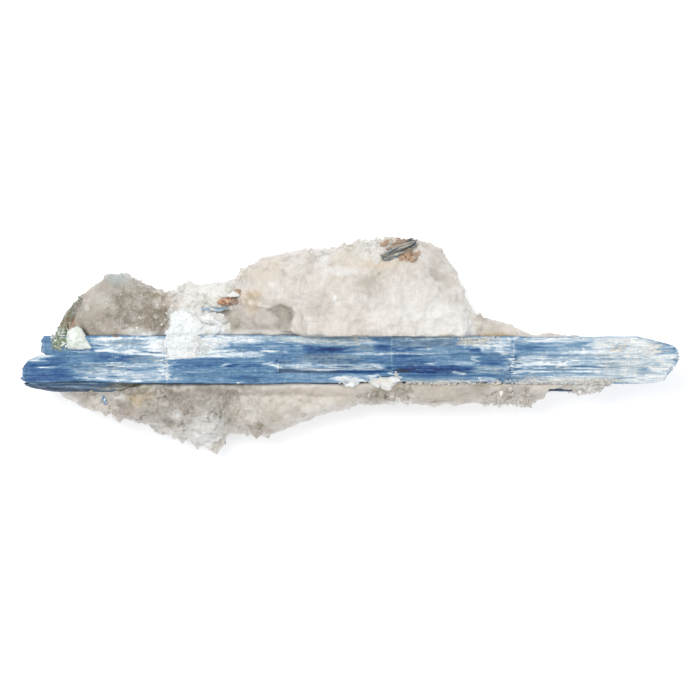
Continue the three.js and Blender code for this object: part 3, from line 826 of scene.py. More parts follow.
    (132, 139.5, -13.8, -11, "blue", 0.5, 0.9),
    (135.5, 137, -11.9, -10.5, "blue", 0.18, 0.9),
    (141, 146.5, -13.3, -9.6, "white", 0.9, 0.7),
    # right: lower
    (78.5, 90, -17.3, -13.6, "grey", 0.68, 0.9),
    (79.5, 88.5, -16.6, -14.7, "tan", 0.66, 0.5),
    (88.5, 117.5, -17.5, -13.8, "blue", 0.82, 0.9),
    (94.5, 98, -17, -14.7, "white", 0.95, 0.8),
    (89.5, 99.5, -18.6, -17.8, "rust", 0.3, 1),
    (116.5, 121.5, -18, -13.8, "grey", 0.72, 0.6),
    (121.5, 127, -18, -14.6, "white", 0.93, 1),
    (123.5, 127, -18, -14.9, "grey", 0.3, 0.5),
    (127, 146.5, -18.2, -14.2, "blue", 0.88, 0.9),
    (127, 144.5, -16.6, -15.9, "blue", 0.7, 0.6),
    (118.5, 120.5, -19.4, -18.1, "rust", 0.4, 1),
    (142.5, 146.5, -16.1, -14.2, "tan", 0.9, 0.6),
    (114, 147, -17.6, 3.4, "tan", 0.9, 0.36),
    (84, 150, -17.6, -10, "grey", 0.8, 0.24),
    (84, 112, -17.9, -15, "tan", 0.72, 0.6),
    (108, 126, -18.4, -15.4, "tan", 0.62, 0.75),
    # white crust that laps onto the near edge
    (-6.5, 4.5, -17.8, -14.4, "white", 0.96, 0.95),
    (-2, 12, -17.8, -16.2, "white", 0.86, 0.7),
    (9.5, 21.5, -17.8, -15.2, "white", 0.94, 0.95),
    (20, 22.6, -16.5, -12.2, "white", 0.92, 0.8),
    (21, 70, -17.8, -16.4, "tan", 0.84, 0.5),
]
KINDS = ("grey", "white", "tan", "rust")
TOP_LIFE = 0.43


def stroked(x, y, tone):
    """Lays the strokes over the laths' own tone; gives tone, marks and lift."""
    flat = np.stack([x, y, 0 * x], -1)
    east = x + 3.2 * noise(flat, (10, 0.8, 1), 31) + 1.8 * noise(flat, (4, 0.45, 1), 34)
    north = y + 0.3 * noise(flat, (9, 3, 1), 32) + 0.16 * noise(flat, (3, 1.2, 1), 33)
    fine = 0.5 * noise(flat, (9, 0.42, 1), 35) + 0.45 * noise(flat, (3, 0.36, 1), 36)
    fine = fine + 0.6 * noise(flat, (2.1, 0.8, 1), 37) + 0.4 * noise(flat, (1.1, 0.5, 1), 38)
    fine = fine * (1 - 0.4 * ease(x, 70, 100))
    marks = {kind: np.zeros_like(x) for kind in KINDS}
    lift = np.zeros_like(x)
    for x0, x1, y0, y1, kind, value, strength, *rise in STROKES:
        blur_x = min(8.0, 0.4 * (x1 - x0))
        blur_y = min(0.7, 0.34 * (y1 - y0))
        inside = ease(east, x0 - blur_x, x0 + blur_x) * ease(-east, -x1 - blur_x, -x1 + blur_x)
        inside = inside * ease(north, y0 - blur_y, y0 + blur_y)
        inside = inside * ease(-north, -y1 - blur_y, -y1 + blur_y)
        inside = strength * ease(inside + 2.0 * fine * inside * (1 - inside), 0.0, 1.05)
        tone = tone + inside * (value - tone)
        for name in KINDS:
            marks[name] = marks[name] * (1 - inside) + inside * (name == kind)
        lift = lift + inside * (rise[0] if rise else 0)
    tone = tone + 0.045 * ease(x, 72, 90) - 0.025 * ease(x, 110, 120) + 0.06 * ease(x, 138, 146)
    return tone, marks, lift


def top_relief(x, y, salt):
    """Cleavage steps, ridges and chips of a lath's upper face; also where the steps are."""
    flat = np.stack([x, y, 0 * x], -1)
    swell = 1.5 * noise(flat, (60, 2.6, 1), salt) + 0.7 * noise(flat, (24, 1.2, 1), salt + 1)
    levels, step = terraces(swell * 1.6, 0.16)
    step = step * ease(noise(flat, (11, 2, 1), salt + 5), -0.35, 0.3)
    chips, chip_edge = terraces(1.3 * noise(flat, (3.2, 1.5, 1), salt + 2) - 0.35, 0.2)
    chips = np.minimum(chips, 0)
    ridges = 0.07 * noise(flat, (12, 0.5, 1), salt + 3)
    ridges = ridges + 0.04 * noise(flat, (2.4, 0.6, 1), salt + 4)
    height = 0.26 * levels + 0.12 * chips + ridges
    return height, np.maximum(step, 0.5 * chip_edge * (chips < -0.2))


def width_at(points, edges, x):
    """South and north edge of a lath where a plane across it cuts its mesh."""
    one, two = points[edges[:, 0]], points[edges[:, 1]]
    crossing = (one[:, 0] - x) * (two[:, 0] - x) <= 0
    one, two = one[crossing], two[crossing]
    run = two[:, 0] - one[:, 0]
    share = np.where(np.abs(run) > 1e-6, (x - one[:, 0]) / np.where(run == 0, 1, run), 0.5)
    across = one[:, 1] + share * (two[:, 1] - one[:, 1])
    return across.min(), across.max()


# How the broken edges of two laths meet: which side (0 south, 1 north), then X and Y along it.
MEETING = {
    "lath_upper_middle": (0, (-67.5, -50, -42, -37, -32, 19),
                          (-5.85, -5.9, -7.0, -7.95, -8.3, -8.3)),
    "lath_lower_middle": (1, (-84.9, -50, -42, -37, -33.3), (-5.5, -5.95, -7.05, -8.0, -8.35)),
}
# How far the laths that stop short of their neighbour really reach: west and east end.
REACHES = {"lath_thin_navy": (-32.9, 19.35), "lath_lower_strip": (-84.9, 19.35),
           "lath_thin_pale": (-32.9, 19.35), "lath_upper_middle": (-77, 19.2)}


END_INSET = 0.45                 # a section this far in stands for the lath's very end
END_CAPS = (0.2, 0.4, 0.6, 0.8)  # sizes of the rings that close an end
SIDE_STEP, UNDER_STEP = 0.8, 1.2


def spans_along(node, points, edges, step):
    """Places along a lath, its south and north edge at each, and its two ends."""
    low, high = points[:, 0].min(), points[:, 0].max()
    stations = np.linspace(low, high, int((high - low) / step) + 1)
    spans = np.array([width_at(points, edges, min(max(x, low + END_INSET), high - END_INSET))
                      for x in stations])
    if node in MEETING:
        side, along, across = MEETING[node]
        spans[:, side] = np.interp(stations, along, across)
    if node in REACHES:
        west, east = REACHES[node]
        stations = west + (stations - low) * (east - west) / (high - low)
        low, high = west, east
    return stations, spans, low, high


class Rings:
    """Rings of points round a lath's section from end to end, and where in it each point lies."""

    def __init__(self, node, sizes):
        points, edges, _ = read_mesh(frame["nodes"][node].data)
        floor, top = points[:, 2].min(), points[:, 2].max()
        stations, spans, low, high = spans_along(node, points, edges, sizes.station_step)
        widest = (spans[:, 1] - spans[:, 0]).max()
        over = np.linspace(0, 1, max(6, int(widest / sizes.strand_step)))
        down = np.linspace(1, 0, int((top - floor) / SIDE_STEP) + 2)[1:-1]
        under = np.linspace(1, 0, max(4, int(widest / UNDER_STEP)))
        u = np.concatenate([over, np.ones_like(down), under, np.zeros_like(down)])
        v = np.concatenate([np.ones_like(over), down, np.zeros_like(under), down[::-1]])
        caps = len(END_CAPS)
        scales = np.array([*END_CAPS, *np.ones(len(stations)), *END_CAPS[::-1]])[:, None]
        xs = np.concatenate([[low] * caps, stations, [high] * caps])
        spans = np.concatenate([np.repeat(spans[:1], caps, 0), spans,
                                np.repeat(spans[-1:], caps, 0)])
        south, north = spans[:, :1], spans[:, 1:]
        middle = (south + north) / 2
        y = middle + scales * (south + u * (north - south) - middle)
        z = (floor + top) / 2 + scales * (floor + v * (top - floor) - (floor + top) / 2)
        edge = np.minimum(y - south, north - y)
        z = z - (v == 1) * 0.14 * np.clip(1 - edge / 0.5, 0, 1) ** 2
        on_side = ((u == 0) | (u == 1)) & (v > 0)
        self.x, self.y, self.z, self.edge, self.south, self.north, self.on_side = (
            np.broadcast_to(values, y.shape).ravel()
            for values in (xs[:, None], y, z, edge, south, north, on_side))
        self.low, self.high, self.top = low, high, top
        self.number, self.around = y.shape

    def faces(self):
        around = self.around
        start = np.arange(self.number - 1)[:, None] * around + np.arange(around)
        after = np.arange(self.number - 1)[:, None] * around + (np.arange(around) + 1) % around
        quads = np.stack([start, after, after + around, start + around], -1).reshape(-1, 4)
        last = (self.number - 1) * around
        return [tuple(quad) for quad in quads.tolist()] + [
            tuple(range(around))[::-1], tuple(range(last, last + around))]


def end_shift(solid, low, high, salt):
    """How far a lath's points move along it: free ends are ragged, the others close their gap."""
    x = solid[:, 0]
    west = x < (low + high) / 2
    near = np.minimum(x - low, high - x)
    ragged = 0.6 + 0.6 * noise(solid, (50, 0.9, 1.3), salt + 7)
    ragged = ragged + 0.5 * terraces(2 * noise(solid, (50, 2.2, 2.6), salt + 8), 0.15)[0]
    reach = np.where(west, 1.5 if low < FREE_WEST else 0, 1.6 if high > FREE_EAST else 0)
    pull = np.clip(ragged, 0, 2.2) * reach * ease(-near, -3.5, 0)
    closing = 0.24 * ease(-near, -1, 0) * (pull == 0)
    return np.where(west, pull - closing, closing - pull), near


def side_shift(rings, x, solid, salt):
    """How far a lath's sides move across it, and where the plates on them break off."""
    plates, plate_edge = terraces(1.6 * noise(solid * (1, 0, 1), (30, 1, 1.1), salt + 5), 0.2)
    inward = 0.16 + 0.14 * plates + 0.1 * noise(solid, (5, 1, 0.6), salt + 6)
    toward = np.where(rings.y > (rings.south + rings.north) / 2, -1, 1)
    past_block = x > BLOCK_END
    far = rings.north > 3.5
    outer = np.where(toward > 0, rings.south < -17, far & past_block)
    banked = (toward < 0) & far & ~past_block
    squeeze = np.where(outer, np.clip(inward, 0, 0.45), np.where(banked, -0.3, -0.2))
    return 1.0 * rings.on_side * toward * squeeze, plate_edge


def add_lath(node, salt, sizes):
    """One lath, with its strokes of colour, cleavage steps, split sides and ragged ends."""
    rings = Rings(node, sizes)
    x, y, z = rings.x, rings.y, rings.z
    flat = np.stack([x, y, 0 * x], -1)
    solid = np.stack([x, y, z], -1)
    upper = ease(z, rings.top - 1.6, rings.top - 0.5)
    tone, marks, lift = stroked(x, y, np.full_like(x, 0.5))
    relief, step = top_relief(x, y, salt)
    relief, step = relief * np.clip(rings.edge / 0.4, 0.3, 1), step * upper
    shift, near = end_shift(solid, rings.low, rings.high, salt)
    x = x + shift
    shift, plate_edge = side_shift(rings, x, solid, salt)
    y = y + sway(flat) + shift
    z = z + upper * (relief + lift)

    # The sides take a darker tone than the tops: painted shade on the walls, with random streaks and
    # a lighter east end.
    walls = 0.3 + 0.22 * noise(solid, (34, 3, 1.3), salt + 9) + 0.35 * ease(x, 146, 151)
    tone = np.where(upper > 0, tone * upper + walls * (1 - upper), walls)
    threads = 0.09 * noise(flat, (11, 0.5, 1), salt + 10)
    threads = threads + 0.07 * noise(flat, (3.5, 0.4, 1), salt + 11)
    # Lighter along the cleavage steps on top and where plates break off the sides: painted
    # highlights.
    tone = tone + threads + 0.22 * step + 0.2 * (1 - upper) * plate_edge
    tone = tone + 0.2 * ease(-near, -0.7, 0)
    marks = {name: values * upper for name, values in marks.items()}
    return make_piece(node + "_surface", np.stack([x, y, z], -1), rings.faces(), "kyanite",
                      [node], material_called("blue_kyanite"), crease=32, tone=tone,
                      life=TOP_LIFE * (1 - 0.3 * ease(x, 72, 105)), **marks)


def turned(points, degrees):
    """The points turned about +Z."""
    a = math.radians(degrees)
    x, y, z = points.T
    return np.stack([x * math.cos(a) - y * math.sin(a), x * math.sin(a) + y * math.cos(a), z], -1)


def add_fibrous(node, slot, voxel, degrees, tone, spread, salt, grey=0.0, tan=None, shape=None):
    """A small blade whose fibres run at an angle in the plan: steps and streaks."""
    points, edges, faces = regrown(node, voxel)
    points = relaxed(points, edges, 2)
    if shape is not None:
        points = np.stack(shape(*points.T), -1)
    normals = outward(points, faces)
    along = turned(points, -degrees)
    steps, step = terraces(2 * noise(along, (14, 1.1, 1.3), salt), 0.2)
    relief = 0.16 * steps + 0.1 * noise(along, (5, 0.5, 0.5), salt + 1)
    points = points + normals * relief[:, None]
    # The tone is lighter along the cleavage steps: painted highlight.
    shade = tone + spread * noise(along, (16, 0.8, 0.9), salt + 2) + 0.25 * step
    shade = shade + 0.5 * spread * noise(along, (4, 0.5, 0.5), salt + 3)
    browned = np.zeros(len(points)) if tan is None else tan(points)
    return make_piece(node + "_surface", points, faces, slot, [node],
                      material_called("blue_kyanite"), crease=30,
                      tone=shade, life=np.full(len(points), TOP_LIFE),
                      grey=np.full(len(points), grey), white=np.zeros(len(points)),
                      tan=browned, rust=np.zeros(len(points)))


def sliver(net, centre, length, width, tall, heading, pitch, dice, **marks):
    """Adds one thin blade with a flat top and tapered, splintery ends; angles in degrees."""
    taper = (0.2, 0.75, 1, 1.02, 0.95, 0.7, 0.15)
    ring = ((-0.5, -0.9), (-0.42, 0.35), (-0.1, 0.5), (0.3, 0.42), (0.5, 0.1), (0.45, -0.9))
    points = []
    for share, thin in zip(np.linspace(-0.5, 0.5, 7), taper):
        for across, up in ring:
            points.append((length * share + 0.03 * length * dice.uniform(-1, 1),
                           width * (thin * across + 0.08 * dice.uniform(-1, 1)),
                           tall * thin * up + 0.5 * tall))
    points = np.array(points)
    points[:, 2] += points[:, 0] * math.tan(math.radians(pitch))
    points = turned(points, heading) + np.array(centre)
    faces = [(r * 6 + k, r * 6 + 6 + k, r * 6 + 6 + (k + 1) % 6, r * 6 + (k + 1) % 6)
             for r in range(6) for k in range(6)]
    faces += [tuple(range(6)), tuple(range(36, 42))[::-1]]
    net.add(points, faces, **marks)


def add_splinters():
    """Thin slivers of kyanite grown fast on the bundle's top."""
    # West, east, south and north bounds in plan, height of the ground, how many, tone.
    beds = [(122, 146, -17, -6, 44.8, 46, 0.86), (78, 120, -13, -5, 45.1, 34, 0.8),
            (-60, -30, -4, 3, 45.5, 12, 0.85), (75, 100, -16, -11, 44.8, 16, 0.7),
            (-118, -88, -14, -8, 45.7, 16, 0.85), (20, 60, -4, 0, 45.3, 10, 0.6),
            (71, 79, -17, -5, 45.0, 30, 0.7),
            (-33, 18, -10.5, -9, 45.1, 10, 0.75), (-140, -100, -16, -5, 45.6, 14, 0.5),
            (-80, 15, -16, -6, 46.2, 14, 0.45), (22, 74, -15, -6, 45.7, 8, 0.36)]
    dice = np.random.default_rng(17)
    net = Net()
    for west, east, south, north, ground, number, tone in beds:
        for _ in range(number):
            place = (dice.uniform(west, east), dice.uniform(south, north), ground - 0.05)
            sliver(net, place, dice.uniform(2.2, 9.5), dice.uniform(0.25, 0.75),
                   dice.uniform(0.2, 0.45), dice.normal(0, 1.8), 0.0, dice,
                   tone=tone + dice.uniform(-0.25, 0.14), life=TOP_LIFE, grey=dice.uniform(0, 0.4),
                   white=dice.uniform(0, 0.5), tan=0.0, rust=0.0)
    # Broken bits that bridge the slanted joint: the joint runs from one end to the other.
    for _ in range(70):
        share = dice.random()
        place = (76.6 - 4.4 * share + dice.normal(0, 0.7), -4.8 - 12.6 * share, 45.0 - 0.5 * share)
        sliver(net, place, dice.uniform(1.2, 4.2), dice.uniform(0.5, 1.1), dice.uniform(0.5, 0.9),
               dice.normal(0, 14), 0.0, dice, tone=dice.uniform(0.25, 0.95), life=TOP_LIFE,
               grey=dice.uniform(0, 0.4), white=dice.uniform(0, 0.4), tan=0.0, rust=0.0)
    return net.piece("kyanite_splinters", "kyanite", [], material_called("blue_kyanite"), crease=25)


def add_spray():
    """The blue-grey spray on the block: overlapping blades that fan out over a grown core."""
    core, edges, faces = regrown("kyanite_spray", 0.35)
    core = relaxed(core, edges, 2)
    normals = outward(core, faces)
    along = turned(core, -22)
    layers, step = terraces(2 * noise(along, (12, 1.1, 1.2), 541), 0.2)
    core = core + normals * (0.2 * layers + 0.12 * noise(along, (4, 0.5, 0.5), 542))[:, None]
    net = Net()
    # The core's tone is lighter along its cleavage steps: painted highlight.
    net.add(core, faces, tone=0.22 + 0.3 * noise(along, (9, 0.8, 0.8), 543) + 0.2 * step,
            life=TOP_LIFE, grey=1.0, white=0.0,
            tan=0.5 + 0.45 * ease(noise(core, (4, 2.5, 3), 544), 0.05, 0.4),
            rust=0.6 * ease(noise(core, (3, 3, 3), 545), 0.3, 0.6))
    # Middle of each blade in plan, its lift, length, width, heading, tone and how brown it is.
    blades = [(15.9, 41.0, 0.3, 8, 2.4, 12, 0.2, 0), (18.6, 40.4, 0.2, 8, 2.2, 14, 0.3, 0),
              (17.5, 42.0, 0.8, 11, 1.4, 16, 0.12, 0), (20.8, 41.8, 0.9, 10, 1.6, 22, 0.5, 0.1),
              (20.5, 43.2, 1.1, 13, 1.2, 24, 0.28, 0), (22.5, 44.6, 1.4, 14, 1.3, 22, 0.6, 0.1),
              (24.0, 46.4, 1.1, 12, 1.4, 20, 0.5, 0.5), (26.5, 46.0, 1.5, 9, 1.3, 30, 0.3, 0),
              (28.4, 47.2, 0.9, 7, 1.6, 34, 0.2, 0), (29.3, 45.6, 0.7, 6, 1.6, 40, 0.4, 0),
              (21.0, 45.9, 0.9, 9, 1.5, 17, 0.5, 0.9), (18.4, 43.9, 0.8, 9, 1.4, 26, 0.5, 0),
              (24.4, 44.9, 1.5, 6, 1.0, 28, 0.6, 0.8), (19.6, 42.4, 1.1, 6, 0.8, 20, 0.72, 0),
              (25.0, 43.4, 0.6, 8, 1.7, 26, 0.45, 0.8), (23.0, 48.0, 0.6, 8, 1.5, 14, 0.5, 0.9),
              (27.2, 43.6, 0.4, 6, 1.8, 35, 0.3, 0.4), (25.8, 48.4, 0.6, 8, 1.3, 24, 0.25, 0.2)]
    dice = np.random.default_rng(29)
    tall = ground_map()
    for x, y, lift, length, width, heading, tone, brown in blades:
        ground = np.median([height_at(tall, x + dx, y + dy) for dx in (-2, 0, 2) for dy in (-1, 1)])
        near = np.argsort(np.hypot(core[:, 0] - x, core[:, 1] - y))[:60]
        ground = max(ground - 0.6, core[near, 2].max() - 1.2 if len(near) else 0)
        sliver(net, (x, y, ground + 0.5 * lift), length, width, 1.2, heading,
               dice.uniform(-4, 4), dice, tone=tone + 0.03, life=0.7, grey=1.0,
               white=0.0, tan=0.6 + 0.34 * brown, rust=0.16 + 0.4 * brown)
    return net.piece("kyanite_spray_surface", "dark_kyanite", ["kyanite_spray"],
                     material_called("blue_kyanite"), crease=25)


# ---------------------------------------------------------------- quartz

# Colour patches of the quartz seen from above: centre, half widths, kind, strength.
PATCHES = [
    (-112, 17.5, 29.9, 18.7, "smoke", 0.5),
    (-92.5, 12, 11.2, 7.5, "smoke", 1),
    (-98, 21, 14, 7.5, "smoke", 0.68),
    (-117.5, 11, 11.2, 8.4, "smoke", 0.45),
    (-134.5, 21, 6.5, 12.1, "smoke", 0.62),
    (-108.5, 32.5, 5.6, 3.7, "teal", 0.7),
    (-111.5, 33.5, 1.9, 1.4, "ochre", 0.8),
    (-104, 28.5, 3.7, 2.8, "green", 0.35),
    (-87.5, 22.5, 4.2, 4.7, "ochre", 0.42),
    (-124, 25, 2.3, 2.8, "rust", 0.25),
    (-127, 19, 2.4, 3.7, "teal", 0.4),
    (-131.5, 11, 2.3, 3.7, "rust", 0.8),
    (-129, 15.5, 3.3, 5.6, "rust", 0.35),
    (-135.5, 5, 3.7, 5.6, "green", 0.9),
    (-98, 13, 2.8, 0.8, "warm", 1),
    (-122, 17, 1.0, 1.5, "frost", 0.3),
    (-115.5, 21.5, 3.3, 2.6, "frost", 0.16),
    (-90, 13.5, 1.4, 0.9, "frost", 0.7),
    (-112, 0.5, 18.7, 1.9, "frost", 0.15),
    (-108.5, 4.5, 2.3, 0.6, "rust", 0.8),
    (-100, 6.5, 4.7, 2.3, "frost", 0.45),
    (-91, 4.5, 6.5, 1.9, "frost", 0.5),
    (-68, 25, 18, 9, "frost", 0.4),
    (-70, 8.5, 12, 9, "frost", 1),
    (-77, 14, 4.7, 4.7, "frost", 0.9),
    (-63, 21, 6.5, 1.9, "ochre", 0.22),
    (-65.5, 17, 9.3, 2.8, "teal", 0.28),
    (-63.5, 14, 7.5, 1.9, "ochre", 0.22),
    (-64, 11, 6, 2.4, "warm", 0.5),
    (-55, 20, 4.2, 2.8, "rust", 0.3),
    (-44.5, 24, 3.7, 1.9, "ochre", 0.5),
    (-45.5, 18.5, 2.8, 3.3, "ochre", 0.55),
    (-47.5, 22.5, 5.5, 3.6, "ochre", 0.6),
    (-50, 24.5, 3.2, 1.2, "rust", 0.4),
    (-58, 9, 7.5, 4.7, "smoke", 0.5),
    (-59.5, 5.5, 3.7, 2.8, "smoke", 0.55),
    (-45.5, 11, 12.1, 6.5, "smoke", 0.3),
    (-30.7, 13, 4.4, 6.2, "smoke", 0.66),
    (-46.5, 5.5, 14, 1.9, "frost", 0.3),
    (-42, 35, 12.1, 6.5, "warm", 0.7),
    (-46.5, 32.5, 8.4, 4.7, "smoke", 0.16),
    (-34, 39, 4.7, 2.3, "ochre", 0.18),
    (-23.5, 21, 18.7, 18.7, "frost", 0.08),
    (-36.5, 28.5, 1.6, 1.2, "frost", 0.35),
    (-13, 40, 4.7, 3.7, "frost", 0.3),
    (-3, 39, 7.5, 5.6, "warm", 0.5),
    (0, 47.5, 3.7, 2.3, "ochre", 0.9),
    (3, 48, 3.4, 1.8, "rust", 0.3),
    (1, 46.5, 4.7, 2.8, "green", 0.3),
    (8.5, 44.5, 5.6, 4.2, "frost", 0.35),
    (19.5, 46.5, 3.3, 2.3, "warm", 0.7),
    (-4, 34.5, 10.3, 2.0, "frost", 0.4),
    (7, 32.5, 7.5, 4.7, "smoke", 0.2),
    (10, 26, 9.3, 6.5, "smoke", 0.2),
    (15, 38, 9.2, 2.4, "ochre", 0.3),
    (9.5, 36, 8.4, 3.7, "warm", 0.5),
    (13.5, 33.5, 0.9, 0.7, "smoke", 1.4),
    (-7, 22, 0.8, 1.5, "frost", 0.6),
    (1, 20.5, 1.5, 1.9, "frost", 0.4),
    (-6, 19.5, 1.1, 0.9, "frost", 0.5),
    (20, 22, 0.8, 2.0, "frost", 0.5),
    (9, 23, 1.4, 2.3, "smoke", 0.35),
    (27, 15.5, 4.7, 3.7, "frost", 0.3),
    (30, 17, 22, 15, "frost", 0.3),
    (46, 12, 12, 8, "frost", 0.25),
    (54, 7, 3.7, 3.7, "frost", 0.4),
    (45.5, 4.5, 4.7, 0.7, "ochre", 0.9),
    (69, 5, 6.5, 1.4, "ochre", 0.8),
    (70, 8, 8.4, 3.7, "warm", 0.5),
    (59.5, 12.5, 1.9, 1.4, "smoke", 0.3),
    (-75, -28, 50, 11.2, "smoke", 0.8),
    (-101, -20.5, 8.5, 3.0, "green", 0.55),
    (-98, -22.5, 6.6, 4.4, "ochre", 0.6),
    (-98.5, -25, 2.8, 3.7, "ochre", 0.5),
    (-108, -23.5, 3.7, 1.4, "frost", 0.4),
    (-115, -23.5, 14, 3.7, "smoke", 0.25),
    (-116.5, -29, 6.5, 3.7, "warm", 0.7),
    (-106.5, -31, 5.6, 3.3, "rust", 0.14),
    (-81, -32, 2.3, 1.9, "frost", 0.3),
    (-74.5, -26.5, 6.1, 4.2, "smoke", 0.95),
    (-83, -24.5, 3.7, 3.7, "smoke", 0.6),
    (-67, -41, 8.4, 8.5, "frost", 0.36),
    (-67, -42, 8.4, 7.5, "teal", 0.12),
    (-41, -29, 14.9, 9.3, "warm", 0.5),
    (-38, -27, 14.9, 7.3, "frost", 0.12),
    (-46.5, -39.5, 7.5, 3.7, "smoke", 0.2),
    (-41, -40, 4.7, 0.9, "rust", 0.3),
    (-58.5, -22.5, 5.6, 3.3, "smoke", 0.4),
    (-23.5, -23.5, 18.7, 4.2, "warm", 0.4),
    (-2.5, -21.5, 11.2, 3.7, "warm", 0.6),
    (10.5, -23, 6.5, 3.3, "smoke", 0.6),
    (21, -22, 6.5, 2.8, "warm", 0.7),
    (24.5, -26.5, 5.6, 2.3, "frost", 0.2),
    (-2.5, -21.5, 23.3, 2.3, "smoke", 0.2),
    (42, -21, 20.5, 3.3, "warm", 0.6),
    (42, -21, 26, 5.5, "smoke", 0.62),
    (63.5, -26.5, 3.7, 1.9, "smoke", 0.3),
    (68.5, -18, 4.7, 1.4, "ochre", 0.7),
    (76.5, -26, 9.3, 3.3, "frost", 0.25),
    (76.5, -24.5, 12.2, 4.7, "smoke", 0.45),
    (91, -20, 6.5, 1.9, "warm", 0.4),
    (112, -20.5, 7.5, 3.3, "warm", 0.3),
    (112, -20.5, 7.5, 3.3, "frost", 0.35),
    (108, -20.5, 12, 4, "smoke", 0.35),
    (119.5, -18.5, 1.9, 1.4, "rust", 0.7),
]
TINTS = ("smoke", "warm", "ochre", "rust", "green", "teal", "frost")
# Areas with a bubbly crystal skin, and smooth areas: centre, half widths, amount.
BUBBLES = [(-95, 18, 16, 15, 0.55), (-66, 27, 22, 12, 0.44), (-70, 10, 14, 10, 0.4),
           (-30, 40, 26, 8, 0.45), (10, 47, 20, 6, 0.6), (-100, -29, 26, 12, 0.5),
           (-66, -40, 20, 14, 0.6), (-67, -42, 8, 7, -0.55), (-30, -34, 30, 12, 0.4),
           (20, -26, 16, 6, 0.5), (72, -25, 16, 6, 0.5), (112, -22, 14, 6, 0.6), (2, 42, 7, 5, -0.3)]


def ovals(points, rows, warp=1.0):
    """Soft patch shares from centre and half-width rows, with wandering edges."""
    flat = points * (1, 1, 0.35)
    shift = 0.3 * noise(flat, (5, 5, 5), 51) + 0.3 * noise(flat, (1.6, 1.6, 1.6), 52)
    for x, y, wide, deep, *rest in rows:
        away = np.hypot((points[:, 0] - x) / wide, (points[:, 1] - y) / deep)
        blur = min(0.5, 0.2 + 1.0 / min(wide, deep))
        yield ease(-(away + warp * shift), -1 - blur, -1 + blur), rest


def from_bundle(points):
    """Distance of a point outside the trough from the space that the laths fill."""
    _, y, z = points.T
    aside = np.maximum(np.maximum(SOUTH_WALL - y, y - NORTH_WALL), 0)
    apart = np.maximum(np.maximum(TROUGH_FLOOR - z, z - LATH_TOPS), 0)
    return np.hypot(aside, apart)


def refined(points, faces, chosen):
    """Splits the chosen faces of a net in four."""
    mesh = bpy.data.meshes.new("rough")
    mesh.from_pydata(points.tolist(), [], faces)
    net = bmesh.new()
    net.from_mesh(mesh)
    net.faces.ensure_lookup_table()
    split = {edge for face, yes in zip(net.faces, chosen) if yes for edge in face.edges}
    bmesh.ops.subdivide_edges(net, edges=list(split), cuts=1, use_grid_fill=True)
    net.to_mesh(mesh)
    net.free()
    raw, edges, faces = read_mesh(mesh)
    bpy.data.meshes.remove(mesh)
    return raw * MM, edges, faces


# Two flat fracture faces: their bearing east and north, and their distance from the middle.
LOBE_FLANK = (-0.647, 0.762, 97.8)
BLOCK_FLANK = (0.937, 0.346, 59.5)


def flat_flanks(points):
    """Flattens the lobe's far left and the block's right; also says how flat each point is."""
    plain = np.zeros(len(points))
    on_lobe = points[:, 0] < -100
    on_block = (points[:, 1] > 13) & (points[:, 0] < 75)
    for (east, north, offset), part in ((LOBE_FLANK, on_lobe), (BLOCK_FLANK, on_block)):
        beyond = east * points[:, 0] + north * points[:, 1] - offset
        shift = 0.85 * np.clip(beyond, 0, None) * part
        points = points - shift[:, None] * np.array((east, north, 0))
        plain = np.maximum(plain, part * ease(beyond - shift, -4.5, -1))
    return points, plain


def set_heights(points):
    """Lifts the brim near the laths and sets the small grey lobe a step below the block."""
    near = ease(points[:, 1], -24, -18.6) * ease(points[:, 2], 26, 33) * (points[:, 1] < -17.9)
    points[:, 2] += near * (3.4 + 3.8 * ease(points[:, 0], -54, -42))
    lobe = np.hypot((points[:, 0] + 33.6) / 7.4, (points[:, 1] - 10.6) / 8.6)
    inside = ease(-lobe, -1.06, -0.94) * ease(points[:, 0], -42, -33) * (points[:, 2] > 36)
    points[:, 2] -= 1.3 * inside * ease(from_bundle(points), 0.6, 2.4)


def flat_facets(points, faces):
    """Breaks the sides into flat faces; says how broken and how druzy each point is.

    The last value is how far each point is from the rim of its face.
    """
    # Away from the top the mass is broken into flat faces that meet in sharp ridges.
    normals = outward(points, faces)
    broken = ease(-normals[:, 2], -0.5, -0.05) * ease(from_bundle(points), 3, 8)
    broken = broken * ease(points[:, 2], 0.5, 3)
    # The lower left is a druse of leaning crystal faces.
    druzy = ease(-points[:, 1], 19.5, 24) * ease(-points[:, 0], 34, 50) * ease(points[:, 2], 6, 14)
    rims = np.ones(len(points))
    for size, salt, tilt, share in ((17, 141, 0, broken), (8, 151, 0, broken),
                                    (7, 161, 0.55, druzy), (3.4, 171, 0.5, 0.8 * druzy)):
        offset, rim = faceted(points, outward(points, faces), (size, size, 0.85 * size), salt, tilt)
        points = points - 0.9 * share[:, None] * offset
        rims = np.where(share > 0.1, np.minimum(rims, rim * size / 8), rims)
    return points, broken, druzy, rims


def bubbly_share(points):
    """How much of the surface is a skin of small crystals: the listed areas and the sides."""
    bubbly = np.zeros(len(points))
    for share, (amount,) in ovals(points, BUBBLES):
        bubbly = bubbly + share * amount
    low = 0.5 * ease(-points[:, 2], -20, -6) * ease(noise(points, (26, 26, 16), 61), -0.3, 0.5)
    return np.clip(np.maximum(bubbly, low), 0, 1)


